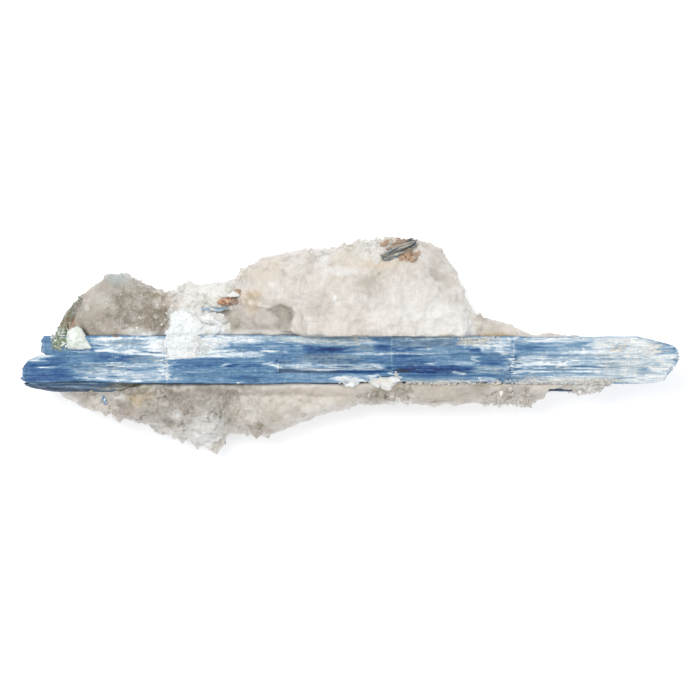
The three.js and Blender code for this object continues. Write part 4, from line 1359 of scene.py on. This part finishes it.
def quartz_relief(points, normals, bubbly, druzy):
    """Height of shells, chips and crystals; also the shells and the crystals by themselves."""
    wall = ease(-normals[:, 2], -0.6, -0.1)
    shells = bowls(points, (13, 12, 10), 71, 0.9, 0.5)
    shells = shells + 0.5 * bowls(points, (6, 5.5, 5), 81, 1.0, 0.5)
    chips = bowls(points, (2.8, 2.6, 2.4), 91, 0.9, 0.5)
    druse = 0.75 - bowls(points, (4.4, 4.2, 4), 101, 0.1, 0.3)
    beads = 0.75 - bowls(points, (1.9, 1.8, 1.8), 111, 0.1, 0.3)
    broad = (2.2 - 1.1 * wall) * (shells + 0.1)
    relief = (1 - bubbly) * (broad + (0.65 + 0.5 * wall) * (chips + 0.1))
    relief = relief + bubbly * (1.7 * (druse - 0.45) + 0.75 * (beads - 0.45))
    relief = relief * (1 - 0.75 * druzy)
    return relief + 0.12 * noise(points, (1.3, 1.3, 1.3), 121), shells, druse


def fit_to_laths(points):
    """Sways the banks with the laths beside them and draws the brims up to the laths."""
    bank = ease(-from_bundle(points), -6, -1) * (points[:, 2] > BANK_FOOT)
    points[:, 1] += bank * sway(points)
    brim = (points[:, 2] > 36.5) * ease(-from_bundle(points), -1.8, -0.1)
    points[:, 1] += brim * np.where(points[:, 1] > -6, -0.5, 0.35)
    # On top the block's edge laps over the laths by 0.4 mm at most.
    over = (points[:, 2] > 45.4) & (points[:, 1] > -6)
    points[over, 1] = np.maximum(points[over, 1], 4.2 + sway(points[over]))
    points[:, 2] = np.maximum(points[:, 2], 0)


def add_quartz(sizes):
    """The grown mass of quartz: shell-like fracture faces, bubbly druses and milky veils."""
    points, edges, faces = regrown("quartz_matrix", sizes.quartz_step)
    points = relaxed(points, edges, 6)
    centres = np.array([points[list(face)].mean(0) for face in faces])
    facing = outward(points, faces)[[face[0] for face in faces]]
    points, edges, faces = refined(points, faces, (facing[:, 2] > 0.42) & (centres[:, 2] > 12))
    points, plain = flat_flanks(relaxed(points, edges, 3))
    set_heights(points)
    points, broken, druzy, rims = flat_facets(points, faces)
    normals = outward(points, faces)
    tints = {name: np.zeros(len(points)) for name in TINTS}
    seen = ease(points[:, 2], 6, 22)
    for share, (kind, strength) in ovals(points, PATCHES):
        share = share * seen * strength
        tints[kind] = tints[kind] + share * (1 - tints[kind] * (strength < 1))
    bubbly = bubbly_share(points)
    relief, shells, druse = quartz_relief(points, normals, bubbly, druzy)
    calm = ease(from_bundle(points), 0.2, 2.6) * (1 - 0.72 * plain)
    level = np.maximum(ease(points[:, 2], 0.4, 3), ease(-normals[:, 2], 0.5, 0.9))
    points = points + normals * (relief * calm * np.maximum(level, 0.15))[:, None]
    fit_to_laths(points)

    hidden, smooth = 1 - seen, 1 - bubbly
    tints["smoke"] += hidden * 0.55 * ease(noise(points, (34, 34, 20), 131), -0.2, 0.5)
    tints["warm"] += hidden * 0.5 * ease(noise(points, (28, 28, 18), 132), 0, 0.6)
    tints["green"] += hidden * 0.35 * ease(noise(points, (18, 18, 12), 133), 0.35, 0.7)
    tints["ochre"] += hidden * 0.4 * ease(noise(points, (12, 12, 9), 134), 0.45, 0.75)
    seam = ease(-from_bundle(points), -1.3, -0.2) * (points[:, 2] > BANK_FOOT)
    tints["ochre"] += 0.45 * seam * ease(noise(points, (9, 9, 9), 135), -0.3, 0.4)
    # Smokier in the hollows of the smooth shells: painted shade, put in the smoke tint.
    tints["smoke"] += smooth * 0.15 * ease(-shells, 0, 0.5) * (tints["frost"] < 0.4)
    # Lighter on the tops of the bubbles and along the rims of the flat faces: painted highlights,
    # put in the frost tint.
    tints["frost"] += 0.3 * bubbly * (1 - druzy) * ease(druse, 0.5, 0.72)
    tints["frost"] += (0.12 * broken + 0.2 * druzy) * ease(-rims, -0.12, -0.02)
    tints["smoke"] += 0.35 * druzy * ease(noise(points, (7, 7, 7), 136), 0, 0.4)
    # Darker in the crevices between the bubbles and deep in the shells' hollows: painted shade.
    pit = bubbly * (1 - druzy) * ease(-druse, -0.42, -0.2) + 0.3 * smooth * ease(-shells, 0.35, 0.7)
    tints = {name: np.clip(values, 0, 1) for name, values in tints.items()}
    return make_piece("quartz_matrix_surface", points, faces, "quartz", ["quartz_matrix"],
                      material_called("milky_quartz"), crease=34,
                      bubbly=bubbly * (1 - 0.8 * druzy), pit=pit, **tints)


def crystal(net, root, heading, radius, length, dice, warm, smoke=0.2, frost=0.0):
    """Adds a six-sided crystal with a pointed end, from its root towards a heading."""
    turn = Vector(heading).to_track_quat("Z", "Y")
    points = []
    waist = radius * dice.uniform(0.88, 1.12, 6)
    # The foot, the waist and the shoulder, whose corners differ in height.
    for height, scale in ((-0.3 * length, 1.02), (0.35 * length, 1.0), (None, 0.96)):
        for side in range(6):
            angle = side * math.pi / 3 + 0.3
            level = length - radius * dice.uniform(0.75, 1.35) if height is None else height
            out = waist[side] * scale
            points.append((out * math.cos(angle), out * math.sin(angle), level))
    tip = (dice.uniform(-0.25, 0.25) * radius, dice.uniform(-0.25, 0.25) * radius, length)
    points.append(tip)
    placed = [turn @ Vector(point) + Vector(root) for point in points]
    faces = [(r + k, r + (k + 1) % 6, r + 6 + (k + 1) % 6, r + 6 + k)
             for r in (0, 6) for k in range(6)]
    faces += [(12 + k, 12 + (k + 1) % 6, 18) for k in range(6)] + [(5, 4, 3, 2, 1, 0)]
    net.add([tuple(point) for point in placed], faces, warm=warm, smoke=smoke, frost=frost)


# Grown crystals along the near fringe: root, heading, radius, length.
FRINGE = [
    ((-114, -28, 27), (-0.1, -1, -0.15), 2.4, 5.6), ((-108, -29, 27), (0, -1, -0.2), 3.6, 7.5),
    ((-101, -30, 26), (0.15, -1, -0.2), 3.0, 6.3), ((-95, -31, 25), (-0.1, -1, -0.2), 2.6, 6.6),
    ((-87, -33, 24), (-0.2, -1, -0.25), 3.2, 8.6), ((-79, -37, 22), (0.1, -1, -0.2), 3.4, 9.3),
    ((-72, -40, 20), (0.15, -1, -0.1), 4.2, 9.1), ((-64, -41, 19), (0.1, -1, -0.1), 3.8, 10.4),
    ((-57, -36, 20), (-0.3, -1, 0.1), 3.2, 8.1), ((-45, -35, 21), (-0.35, -1, 0.1), 3.8, 8.6),
    ((-41, -34, 22), (0.3, -1, 0.05), 3.6, 10.1), ((-31, -32, 23), (0.1, -1, 0), 2.4, 6.1),
    ((7, -22, 30), (0.2, -1, -0.1), 2.6, 5.5), ((25.5, -22, 30), (0.2, -1, -0.25), 2.3, 6.7),
    ((64, -22, 29), (0.05, -1, -0.2), 2.2, 6.5), ((78, -22, 29), (0.1, -1, -0.1), 3.2, 6.9),
    ((-84, 20, 33), (-0.1, 1, 0.3), 2.6, 6.2), ((-79, 22, 32), (0.1, 1, 0.2), 2.2, 5.4),
    ((60, 11.5, 33), (0.3, 1, 0.4), 1.4, 4.2),
]


def add_points(sizes):
    """Clear little quartz crystals on the druses and along the near fringe."""
    mesh = bpy.data.objects["quartz_matrix_surface"].data
    points = points_of(mesh)
    normals = np.empty(len(points) * 3)
    mesh.vertex_normals.foreach_get("vector", normals)
    normals = normals.reshape(-1, 3)
    bubbly, smoky, frost_and_highlight = np.empty((3, len(points)))
    for name, values in (("bubbly", bubbly), ("smoke", smoky), ("frost", frost_and_highlight)):
        mesh.attributes[name].data.foreach_get("value", values)
    dice = np.random.default_rng(23)
    net = Net()
    for root, heading, radius, length in FRINGE:
        crystal(net, root, heading, radius, length, dice, dice.uniform(0, 0.6))
    lower_left = (points[:, 0] < -52) & (points[:, 1] < -18)
    good = (bubbly > 0.45 - 0.15 * lower_left) & (from_bundle(points) > 1.5) & (points[:, 2] > 3)
    fine = (points[:, 0] < -84) & (points[:, 1] > 0)
    picks = dice.choice(np.flatnonzero(good), sizes.crystal_number, replace=False)
    for pick in picks:
        lean = normals[pick] + 0.35 * dice.normal(size=3)
        radius = (0.5 + 2.5 * dice.random() ** 4) * (0.5 if fine[pick] else 1)
        length = radius * dice.uniform(1.2, 1.9)
        root = points[pick] - 0.75 * radius * normals[pick]
        crystal(net, tuple(root), tuple(lean), radius, length, dice, dice.uniform(0, 0.5),
                # The frost here is the quartz's frost at the root, which includes its painted
                # highlights.
                smoky[pick] * dice.uniform(0.85, 1.4), 0.6 * frost_and_highlight[pick])
    return net.piece("quartz_crystals", "quartz", [], material_called("clear_quartz"), smooth=False)


# ---------------------------------------------------------------- crusts, mica, green minerals

def hull(points):
    """The closed faceted solid round some points."""
    net = bmesh.new()
    for point in points:
        net.verts.new(point)
    made = bmesh.ops.convex_hull(net, input=list(net.verts))
    bmesh.ops.delete(net, geom=made["geom_interior"], context="VERTS")
    net.verts.index_update()
    found = [tuple(v.co) for v in net.verts]
    faces = [tuple(v.index for v in face.verts) for face in net.faces]
    net.free()
    return found, faces


def scattered(net, salt, rows, pale, cream):
    """Adds crushed grains round centres in plan: half widths, number, size.

    Their warmth runs from pale to cream.
    """
    dice = np.random.default_rng(salt)
    tall = ground_map()
    for x, y, wide, deep, number, size in rows:
        for _ in range(number):
            angle, reach = dice.uniform(0, 6.3), dice.random() ** 0.7
            place = (x + wide * reach * math.cos(angle), y + deep * reach * math.sin(angle))
            scale = size * (0.5 + 1.2 * dice.random() ** 3)
            ground = height_at(tall, *place)
            if ground < LOOSE_GROUND:
                continue
            centre = np.array((*place, ground - 0.1 * scale))
            shell = dice.normal(size=(9, 3))
            shell = shell / np.linalg.norm(shell, axis=1, keepdims=True) * (1.3, 1.0, 0.45)
            net.add(*hull(centre + scale * shell), warm=dice.uniform(pale, cream), brown=0.0)


def add_crust(node, voxel, salt, spill=(), brown=None, shape=None, cream=0.3, rough=1.0):
    """A crust of tiny crushed white grains; spill rows scatter more round centres in plan."""
    points, edges, faces = regrown(node, voxel)
    points = relaxed(points, edges, 3)
    if shape is not None:
        points = np.stack(shape(*points.T), -1)
    normals = outward(points, faces)
    grains = 0.75 - bowls(points, (1.5, 1.4, 1.3), salt, 0.2, 0.4)
    clods = 0.75 - bowls(points, (4.2, 3.6, 3.4), salt + 10, 0.3, 0.3)
    relief = 0.6 * (grains - 0.45) + 0.9 * (clods - 0.45) + 0.08 * noise(points, (0.6,) * 3, salt)
    points = points + rough * normals * relief[:, None]
    net = Net()
    net.add(points, faces, warm=cream * ease(noise(points, (6, 6, 6), salt + 20), -0.2, 0.6),
            brown=0.0 if brown is None else brown(points))
    scattered(net, salt, spill, 0, cream)
    return net.piece(node + "_surface", "white_crust", [node], material_called("sugary_crust"),
                     crease=35)


def leaf(net, centre, normal, spin, size, thick, dice, **marks):
    """Adds one thin ragged mineral leaf."""
    sides = 7
    turn = Vector(normal).to_track_quat("Z", "Y")
    rim = size * dice.uniform(0.7, 1.15, sides)
    points = []
    for height, scale in ((-0.5, 0.96), (0.0, 1.0), (0.5, 0.93)):
        for side in range(sides):
            angle = spin + 2 * math.pi * side / sides
            flat = Vector((rim[side] * scale * math.cos(angle),
                           0.62 * rim[side] * scale * math.sin(angle), height * thick))
            points.append(tuple(turn @ flat + Vector(centre)))
    faces = [(r + k, r + (k + 1) % sides, r + sides + (k + 1) % sides, r + sides + k)
             for r in (0, sides) for k in range(sides)]
    faces += [tuple(range(sides))[::-1], tuple(range(2 * sides, 3 * sides))]
    net.add(points, faces, **marks)


def add_leaves(node, slot, material, number, size, salt, degrees, tinge, spill=()):
    """A patch of overlapping leaves over a core; spill rows add leaves beyond it.

    The tinge gives the marks at some points.
    """
    core, edges, faces = regrown(node, 0.5)
    core = relaxed(core, edges, 3)
    normals = outward(core, faces)
    layers = terraces(1.5 * noise(turned(core, -degrees), (6, 1.6, 1.0), salt), 0.2)[0]
    core = core + normals * (0.2 * layers + 0.12 * noise(core, (0.9,) * 3, salt + 1))[:, None]
    dice = np.random.default_rng(salt)
    net = Net()
    net.add(core, faces, **tinge(core))
    upper = np.flatnonzero(normals[:, 2] > -0.2)
    for pick in dice.choice(upper, number):
        lean = normals[pick] + 0.45 * dice.normal(size=3) + np.array((0, 0, 0.3))
        place = core[pick] + normals[pick] * dice.uniform(-0.1, 0.25)
        leaf(net, tuple(place), tuple(lean), math.radians(degrees) + 0.5 * dice.normal(),
             size * dice.uniform(0.5, 1.3), 0.12 + 0.14 * dice.random(), dice,
             **{name: values[0] for name, values in tinge(place[None]).items()})
    tall = ground_map()
    for x, y, wide, deep, heading, count in spill:
        for _ in range(count):
            across = np.clip(dice.normal(size=2) * 0.5, -1, 1) * (wide, deep)
            px, py, _ = turned(np.array([[*across, 0]]), heading)[0] + (x, y, 0)
            if height_at(tall, px, py) < LOOSE_GROUND:
                continue
            place = np.array((px, py, height_at(tall, px, py) + dice.uniform(-0.1, 0.4)))
            leaf(net, tuple(place), (0.5 * dice.normal(), 0.5 * dice.normal(), 1),
                 dice.uniform(0, 6.3), size * dice.uniform(0.5, 1.2), 0.3, dice,
                 **{name: values[0] for name, values in tinge(place[None]).items()})
    return net.piece(node + "_surface", slot, [node], material_called(material), crease=20)


def add_green_crystal():
    """The pale green crystal at the lobe's foot: a faceted wedge that laps onto the lath."""
    foot = [(-131.5, 4.7, 38), (-130.4, 7.0, 38), (-127.4, 8.3, 38), (-123.2, 4.7, 38),
            (-131.5, 4.7, 46.2), (-130.4, 7.0, 46.6), (-127.4, 8.4, 46.4), (-125.4, 8.0, 46.2),
            (-122.4, 4.7, 45.8), (-128.4, 5.6, 48.0), (-126.2, 5.8, 47.8)]
    cap = [(-131.6, -0.8, 45.1), (-131.7, 4.4, 45.1), (-130.2, 7.2, 45.1), (-127.2, 8.4, 45.1),
           (-125.2, 7.6, 45.1), (-119.6, -1.4, 45.1), (-125.4, -1.9, 45.1), (-129.4, -1.6, 45.1),
           (-131.2, 3.8, 47.0), (-129.8, 6.2, 47.6), (-127.0, 7.2, 47.4), (-121.4, -0.6, 46.0),
           (-127.6, 2.6, 48.2), (-129.8, 0.4, 47.2), (-124.6, 2.0, 47.4)]
    dice = np.random.default_rng(803)
    net = Net()
    for points in (foot, cap):
        # Worn corners: each corner is swapped for a few points drawn in towards the middle.
        points = np.array(points, dtype=float)
        middle = points.mean(0)
        worn = [point + (middle - point) * 0.1 + dice.normal(size=3) * (0.5, 0.5, 0.18)
                for point in points for _ in range(5)]
        net.add(*hull(worn))
    solid = bpy.data.meshes.new("rough")
    solid.from_pydata((np.concatenate(net.points) * MM).tolist(), [], net.faces)
    points, edges, faces = evened(solid, 0.3)
    points = relaxed(points, edges, 4)
    points = points + outward(points, faces) * (0.16 * noise(points, (2.4, 2.4, 2.4), 805))[:, None]
    return make_piece("green_crystal_surface", points, faces, "green_crystal", ["green_crystal"],
                      material_called("pale_green_crystal"))


# ---------------------------------------------------------------- stage

def add_stage():
    """A pale floor, a broad soft lamp from the far side, a white sky and the camera above."""
    scene = bpy.context.scene
    sizes = scene.kyanite_sizes
    reach = 3.0              # half the floor's width, in metres
    floor = bpy.data.meshes.new("floor")
    floor.from_pydata([(-reach, -reach, 0), (reach, -reach, 0), (reach, reach, 0),
                       (-reach, reach, 0)], [], [(0, 1, 2, 3)])
    ground = bpy.data.objects.new("floor", floor)
    scene.collection.objects.link(ground)
    floor.materials.append(floor_material())
    world = bpy.data.worlds.new("white_room")
    scene.world = world
    world.use_nodes = True
    sky = world.node_tree.nodes["Background"]
    sky.inputs["Color"].default_value = (*paint(252, 253, 255), 1)
    sky.inputs["Strength"].default_value = sizes.sky_strength
    for name, place, size, power in (
            ("key_lamp", (-0.36, 0.32, 1.35), 0.6, sizes.key_power),
            ("fill_lamp", (0.35, 0.2, 1.35), 0.9, sizes.fill_power)):
        light = bpy.data.lights.new(name, "AREA")
        light.shape, light.size, light.energy = "DISK", size, power
        lamp = bpy.data.objects.new(name, light)
        lamp.location = place
        lamp.rotation_mode = "QUATERNION"
        lamp.rotation_quaternion = (-Vector(place)).to_track_quat("-Z", "Y")
        scene.collection.objects.link(lamp)
    lens = bpy.data.cameras.new("camera")
    # A long lens from high above, straight down.
    lens.lens, lens.sensor_width = 300, 36
    lens.clip_start, lens.clip_end = 0.1, 20
    camera = bpy.data.objects.new("camera", lens)
    camera.location = (0, -2.1 * MM, 2.7563)
    scene.collection.objects.link(camera)
    scene.camera = camera
    scene.view_settings.view_transform = "Standard"


# ---------------------------------------------------------------- add-on

def colour_setting(name, description, rgb):
    """A colour setting whose default is a screen colour."""
    return bpy.props.FloatVectorProperty(
        name=name, description=description, default=paint(*rgb), subtype="COLOR", min=0, max=1)


class KyaniteSizes(bpy.types.PropertyGroup):
    """Mesh steps, numbers and light of the specimen."""

    station_step: bpy.props.FloatProperty(
        name="Station step", description="Step along a lath in mm", default=0.5, min=0.2)
    strand_step: bpy.props.FloatProperty(
        name="Strand step", description="Step across a lath's top in mm", default=0.28, min=0.1)
    quartz_step: bpy.props.FloatProperty(
        name="Quartz step", description="Coarse step of the quartz net in mm", default=1.2, min=0.5)
    crystal_number: bpy.props.IntProperty(
        name="Crystals", description="Little quartz crystals on the druses", default=2600, min=0)
    sky_strength: bpy.props.FloatProperty(
        name="Sky", description="Strength of the white room", default=0.72, min=0)
    key_power: bpy.props.FloatProperty(
        name="Key lamp", description="Power of the far soft lamp", default=8, min=0, unit="POWER")
    fill_power: bpy.props.FloatProperty(
        name="Fill lamp", description="Power of the near fill lamp", default=1.5, min=0,
        unit="POWER")


class KyaniteColours(bpy.types.PropertyGroup):
    """Colours of the minerals."""

    navy: colour_setting("Navy", "Darkest kyanite", (20, 46, 100))
    deep_blue: colour_setting("Deep blue", "Deep kyanite", (46, 88, 140))
    blue: colour_setting("Blue", "Common kyanite", (84, 124, 160))
    light_blue: colour_setting("Light blue", "Light kyanite", (118, 152, 180))
    pale_blue: colour_setting("Pale blue", "Pale kyanite", (170, 190, 205))
    white: colour_setting("White", "White mineral", (246, 247, 245))
    quartz: colour_setting("Quartz", "Milky quartz", (214, 206, 196))
    quartz_shade: colour_setting("Quartz shade", "Darker milky quartz", (197, 189, 177))
    quartz_light: colour_setting("Quartz light", "Lighter milky quartz", (228, 222, 214))
    smoke: colour_setting("Smoke", "Smoky quartz", (170, 160, 145))
    smoke_dark: colour_setting("Dark smoke", "Dark smoky quartz", (120, 110, 95))
    warm: colour_setting("Warm stain", "Beige stain", (217, 206, 191))
    ochre: colour_setting("Ochre stain", "Ochre stain", (200, 178, 142))
    rust: colour_setting("Rust stain", "Rust stain", (166, 116, 84))
    green: colour_setting("Green stain", "Green-grey stain", (138, 148, 122))
    teal: colour_setting("Teal stain", "Blue-grey stain", (164, 176, 174))


class MakeStep(bpy.types.Operator):
    """Shared run of the operators."""

    bl_options = {"REGISTER", "UNDO"}

    def execute(self, context):
        self.make(context.scene.kyanite_sizes)
        return {"FINISHED"}


class KYANITE_OT_laths(MakeStep):
    """Make the twelve long laths of the bundle"""

    bl_idname = "kyanite.laths"
    bl_label = "Laths"

    def make(self, sizes):
        if len(LATHS) != 12:
            raise RuntimeError("the bundle should have twelve laths")
        for number, node in enumerate(LATHS):
            add_lath(node, 200 + 20 * number, sizes)


class KYANITE_OT_small_blades(MakeStep):
    """Make the side lath, the small blades and the spray"""

    bl_idname = "kyanite.small_blades"
    bl_label = "Small blades"

    def make(self, sizes):
        def leaning(x, y, z):
            worn = ease(x, -105, -97)
            return (x, -18 + (y + 18) * (1.1 - 0.7 * worn) + 0.75 * ease(y, -19.6, -18),
                    z + 0.5 * ease(z, 40, 44) - 2.5 * worn)

        def browned(points):
            return 0.95 * ease(points[:, 0] + 8 * noise(points, (5, 0.8, 1), 509), -122, -102)

        def taller(x, y, z):
            return 99 + 1.06 * (x - 99), y, 30.6 + 2.3 * (z - 30.6)

        def speckled(points):
            return 0.6 * ease(noise(points, (2.2, 1.4, 1), 569), 0, 0.4)

        def slimmer(x, y, z):
            return x - 1.2, 16.7 + 0.5 * (y - 16.5) + 0.3 * np.sin(x * 0.55), z - 0.6

        def larger(x, y, z):
            return -114.5 + 1.25 * (x + 114.5), -25.5 + 1.3 * (y + 25.5), z + 0.5

        add_fibrous("kyanite_side_lath", "dark_kyanite", 0.4, 0, 0.21, 0.38, 501, 0.9,
                    browned, leaning)
        add_fibrous("kyanite_under_right", "dark_kyanite", 0.35, 0, 0.2, 0.3, 521, 0.9,
                    None, taller)
        add_spray()
        add_fibrous("kyanite_saddle_lath", "kyanite", 0.25, 6, 0.76, 0.4, 561, 0.5,
                    speckled, slimmer)
        add_fibrous("kyanite_low_sliver", "kyanite", 0.3, 60, 0.62, 0.5, 581, 0.3,
                    None, larger)


class KYANITE_OT_splinters(MakeStep):
    """Make the thin slivers on the bundle"""

    bl_idname = "kyanite.splinters"
    bl_label = "Splinters"

    def make(self, sizes):
        add_splinters()


class KYANITE_OT_quartz(MakeStep):
    """Make the grown mass of quartz"""

    bl_idname = "kyanite.quartz"
    bl_label = "Quartz"

    def make(self, sizes):
        add_quartz(sizes)


class KYANITE_OT_crystals(MakeStep):
    """Make the little clear crystals on the quartz"""

    bl_idname = "kyanite.crystals"
    bl_label = "Clear crystals"

    def make(self, sizes):
        if "quartz_matrix_surface" not in bpy.data.objects:
            raise RuntimeError("make the quartz before its crystals")
        add_points(sizes)


class KYANITE_OT_crusts(MakeStep):
    """Make the white sugary crusts and the white chip"""

    bl_idname = "kyanite.crusts"
    bl_label = "White crusts"

    def make(self, sizes):
        def lapping(x, y, z):
            over = ease(z, 44.8, 45.6) * ease(-y, -9, -5)
            line = np.stack([0 * x, y, 0 * x], -1)
            edge = noise(line, (1, 3.4, 1), 617) + 0.6 * noise(line, (1, 1.1, 1), 618)
            wide = -76.5 + (x + 76.5) * (1 + over * (0.05 + 0.17 * edge))
            wide = wide - 3.2 * over * ease(x, -76, -68)
            worn = z - 1.0 * over * ease(x, -77, -70) - 0.7 * over * ease(-x, 82, 85)
            behind = ease(y, 5, 9)
            wide = wide + 0.1 * behind * (wide + 76.5)
            return wide, y - 1.1 * ease(-y, 1, 4.4) + 0.12 * behind * (y - 5), worn

        def patched(x, y, z):
            thick = np.maximum(ease(-np.abs(x + 1), -6.5, -2), ease(-np.abs(x - 16), -8.5, -3.5))
            line = np.stack([x, 0 * x, 0 * x], -1)
            thick = (0.2 + 0.8 * thick) * (1 + 0.25 * noise(line, (3, 1, 1), 651))
            south = 1.1 * noise(line, (1.6, 1, 1), 652)
            lowered = z + 0.2 - 1.6 * (1 - thick) * ease(z, 43, 46)
            return x, -15.9 + south * thick + 0.85 * (y + 17.6) * thick, lowered

        def rusted(points):
            return ease(points[:, 1] + 0.6 * points[:, 0], -7.6, -6.6) * 0.8

        add_crust("crust_break", 0.42, 601, [
            (-70, -0.5, 5, 5.0, 300, 0.5), (-64, 1, 7, 3.4, 110, 0.35),
            (-87, 0.5, 3.0, 4, 90, 0.4), (-78, 12, 8, 6, 170, 0.5), (-81, 7, 3, 4, 60, 0.5),
            (-68, 9, 8, 5, 220, 0.55), (-85, -8, 0.9, 7, 50, 0.35)], shape=lapping)
        add_crust("crust_near_edge", 0.4, 641, [
            (-1, -16.2, 5.5, 1.8, 120, 0.3), (15, -16.4, 8, 1.6, 150, 0.3),
            (21.5, -14.6, 1.0, 2.4, 50, 0.4)],
            shape=patched, cream=0.8, rough=1.7)
        add_crust("crust_saddle_chip", 0.35, 681, [(-57, 20, 6, 3, 60, 0.5)], rusted)
        crumbs = Net()
        scattered(crumbs, 663, [
            (44, -17.6, 24, 0.9, 260, 0.4), (80, -17.2, 18, 1.3, 260, 0.42),
            (112, -17.6, 16, 1.6, 300, 0.45), (62, 3.6, 12, 0.8, 90, 0.35)], 0.5, 1)
        crumbs.piece("quartz_crumbs", "white_crust", [], material_called("sugary_crust"), crease=35)


class KYANITE_OT_micas(MakeStep):
    """Make the brown mica books"""

    bl_idname = "kyanite.micas"
    bl_label = "Brown mica"

    def make(self, sizes):
        def slate(points):
            return {"slate": 0.5 * ease(noise(points, (1.5, 1.5, 1.5), 751), 0.1, 0.6),
                    "dull": 0.65 * (points[:, 1] > 30)}

        add_leaves("mica_book_upper", "brown_mica", "flaky_mica", 50, 1.1, 701, 20, slate,
                   [(23, 49.0, 3.2, 1.0, 8, 40)])
        add_leaves("mica_book_lower", "brown_mica", "flaky_mica", 70, 1.2, 721, 20, slate,
                   [(26.0, 41.8, 3.2, 2.0, 24, 90), (24, 45.2, 2, 1, 20, 30)])
        add_leaves("mica_book_saddle", "brown_mica", "flaky_mica", 80, 1.2, 741, 10, slate)


class KYANITE_OT_greens(MakeStep):
    """Make the chlorite patch and the pale green crystal"""

    bl_idname = "kyanite.greens"
    bl_label = "Green minerals"

    def make(self, sizes):
        def flank(points):
            north = ease(points[:, 1], 6, 11)
            rusty = 0.6 * ease(noise(points, (3, 3, 3), 771), -0.1, 0.3) * north
            slaty = 0.8 * ease(noise(points, (2, 3, 2), 781), -0.1, 0.3)
            slaty = slaty * ease(points[:, 1], 12, 16)
            pale = ease(noise(points, (1.2, 1.2, 1.2), 791), 0.3, 0.5) * (1 - 0.7 * north)
            return {"pale": pale, "rust": rusty, "slate": slaty}

        add_leaves("chlorite_patch", "chlorite", "scaly_chlorite", 560, 0.55, 761, 55, flank,
                   [(-135.2, 2.2, 3.6, 4.4, 0, 330), (-130.5, 15, 8.5, 2.4, 62, 420)])
        add_green_crystal()


class KYANITE_OT_stage(MakeStep):
    """Make the floor, the light and the camera"""

    bl_idname = "kyanite.stage"
    bl_label = "Stage"

    def make(self, sizes):
        add_stage()


OPERATORS = (KYANITE_OT_laths, KYANITE_OT_quartz, KYANITE_OT_crystals, KYANITE_OT_small_blades,
             KYANITE_OT_splinters, KYANITE_OT_crusts, KYANITE_OT_micas, KYANITE_OT_greens,
             KYANITE_OT_stage)


class KYANITE_PT_panel(bpy.types.Panel):
    """The specimen's steps in the sidebar"""

    bl_label = "Kyanite blade cluster"
    bl_space_type = "VIEW_3D"
    bl_region_type = "UI"
    bl_category = "Kyanite"

    def draw(self, context):
        for step in OPERATORS:
            self.layout.operator(step.bl_idname)
        for group in (context.scene.kyanite_sizes, context.scene.kyanite_colours):
            for name in group.bl_rna.properties.keys():
                if name not in ("rna_type", "name"):
                    self.layout.prop(group, name)


CLASSES = (KyaniteSizes, KyaniteColours, *OPERATORS, KYANITE_PT_panel)


def register():
    for made in CLASSES:
        bpy.utils.register_class(made)
    bpy.types.Scene.kyanite_sizes = bpy.props.PointerProperty(type=KyaniteSizes)
    bpy.types.Scene.kyanite_colours = bpy.props.PointerProperty(type=KyaniteColours)


def unregister():
    del bpy.types.Scene.kyanite_sizes
    del bpy.types.Scene.kyanite_colours
    for made in reversed(CLASSES):
        bpy.utils.unregister_class(made)


def main():
    register()
    for step in OPERATORS:
        group, name = step.bl_idname.split(".")
        getattr(getattr(bpy.ops, group), name)()


if __name__ == "__main__":
    main()
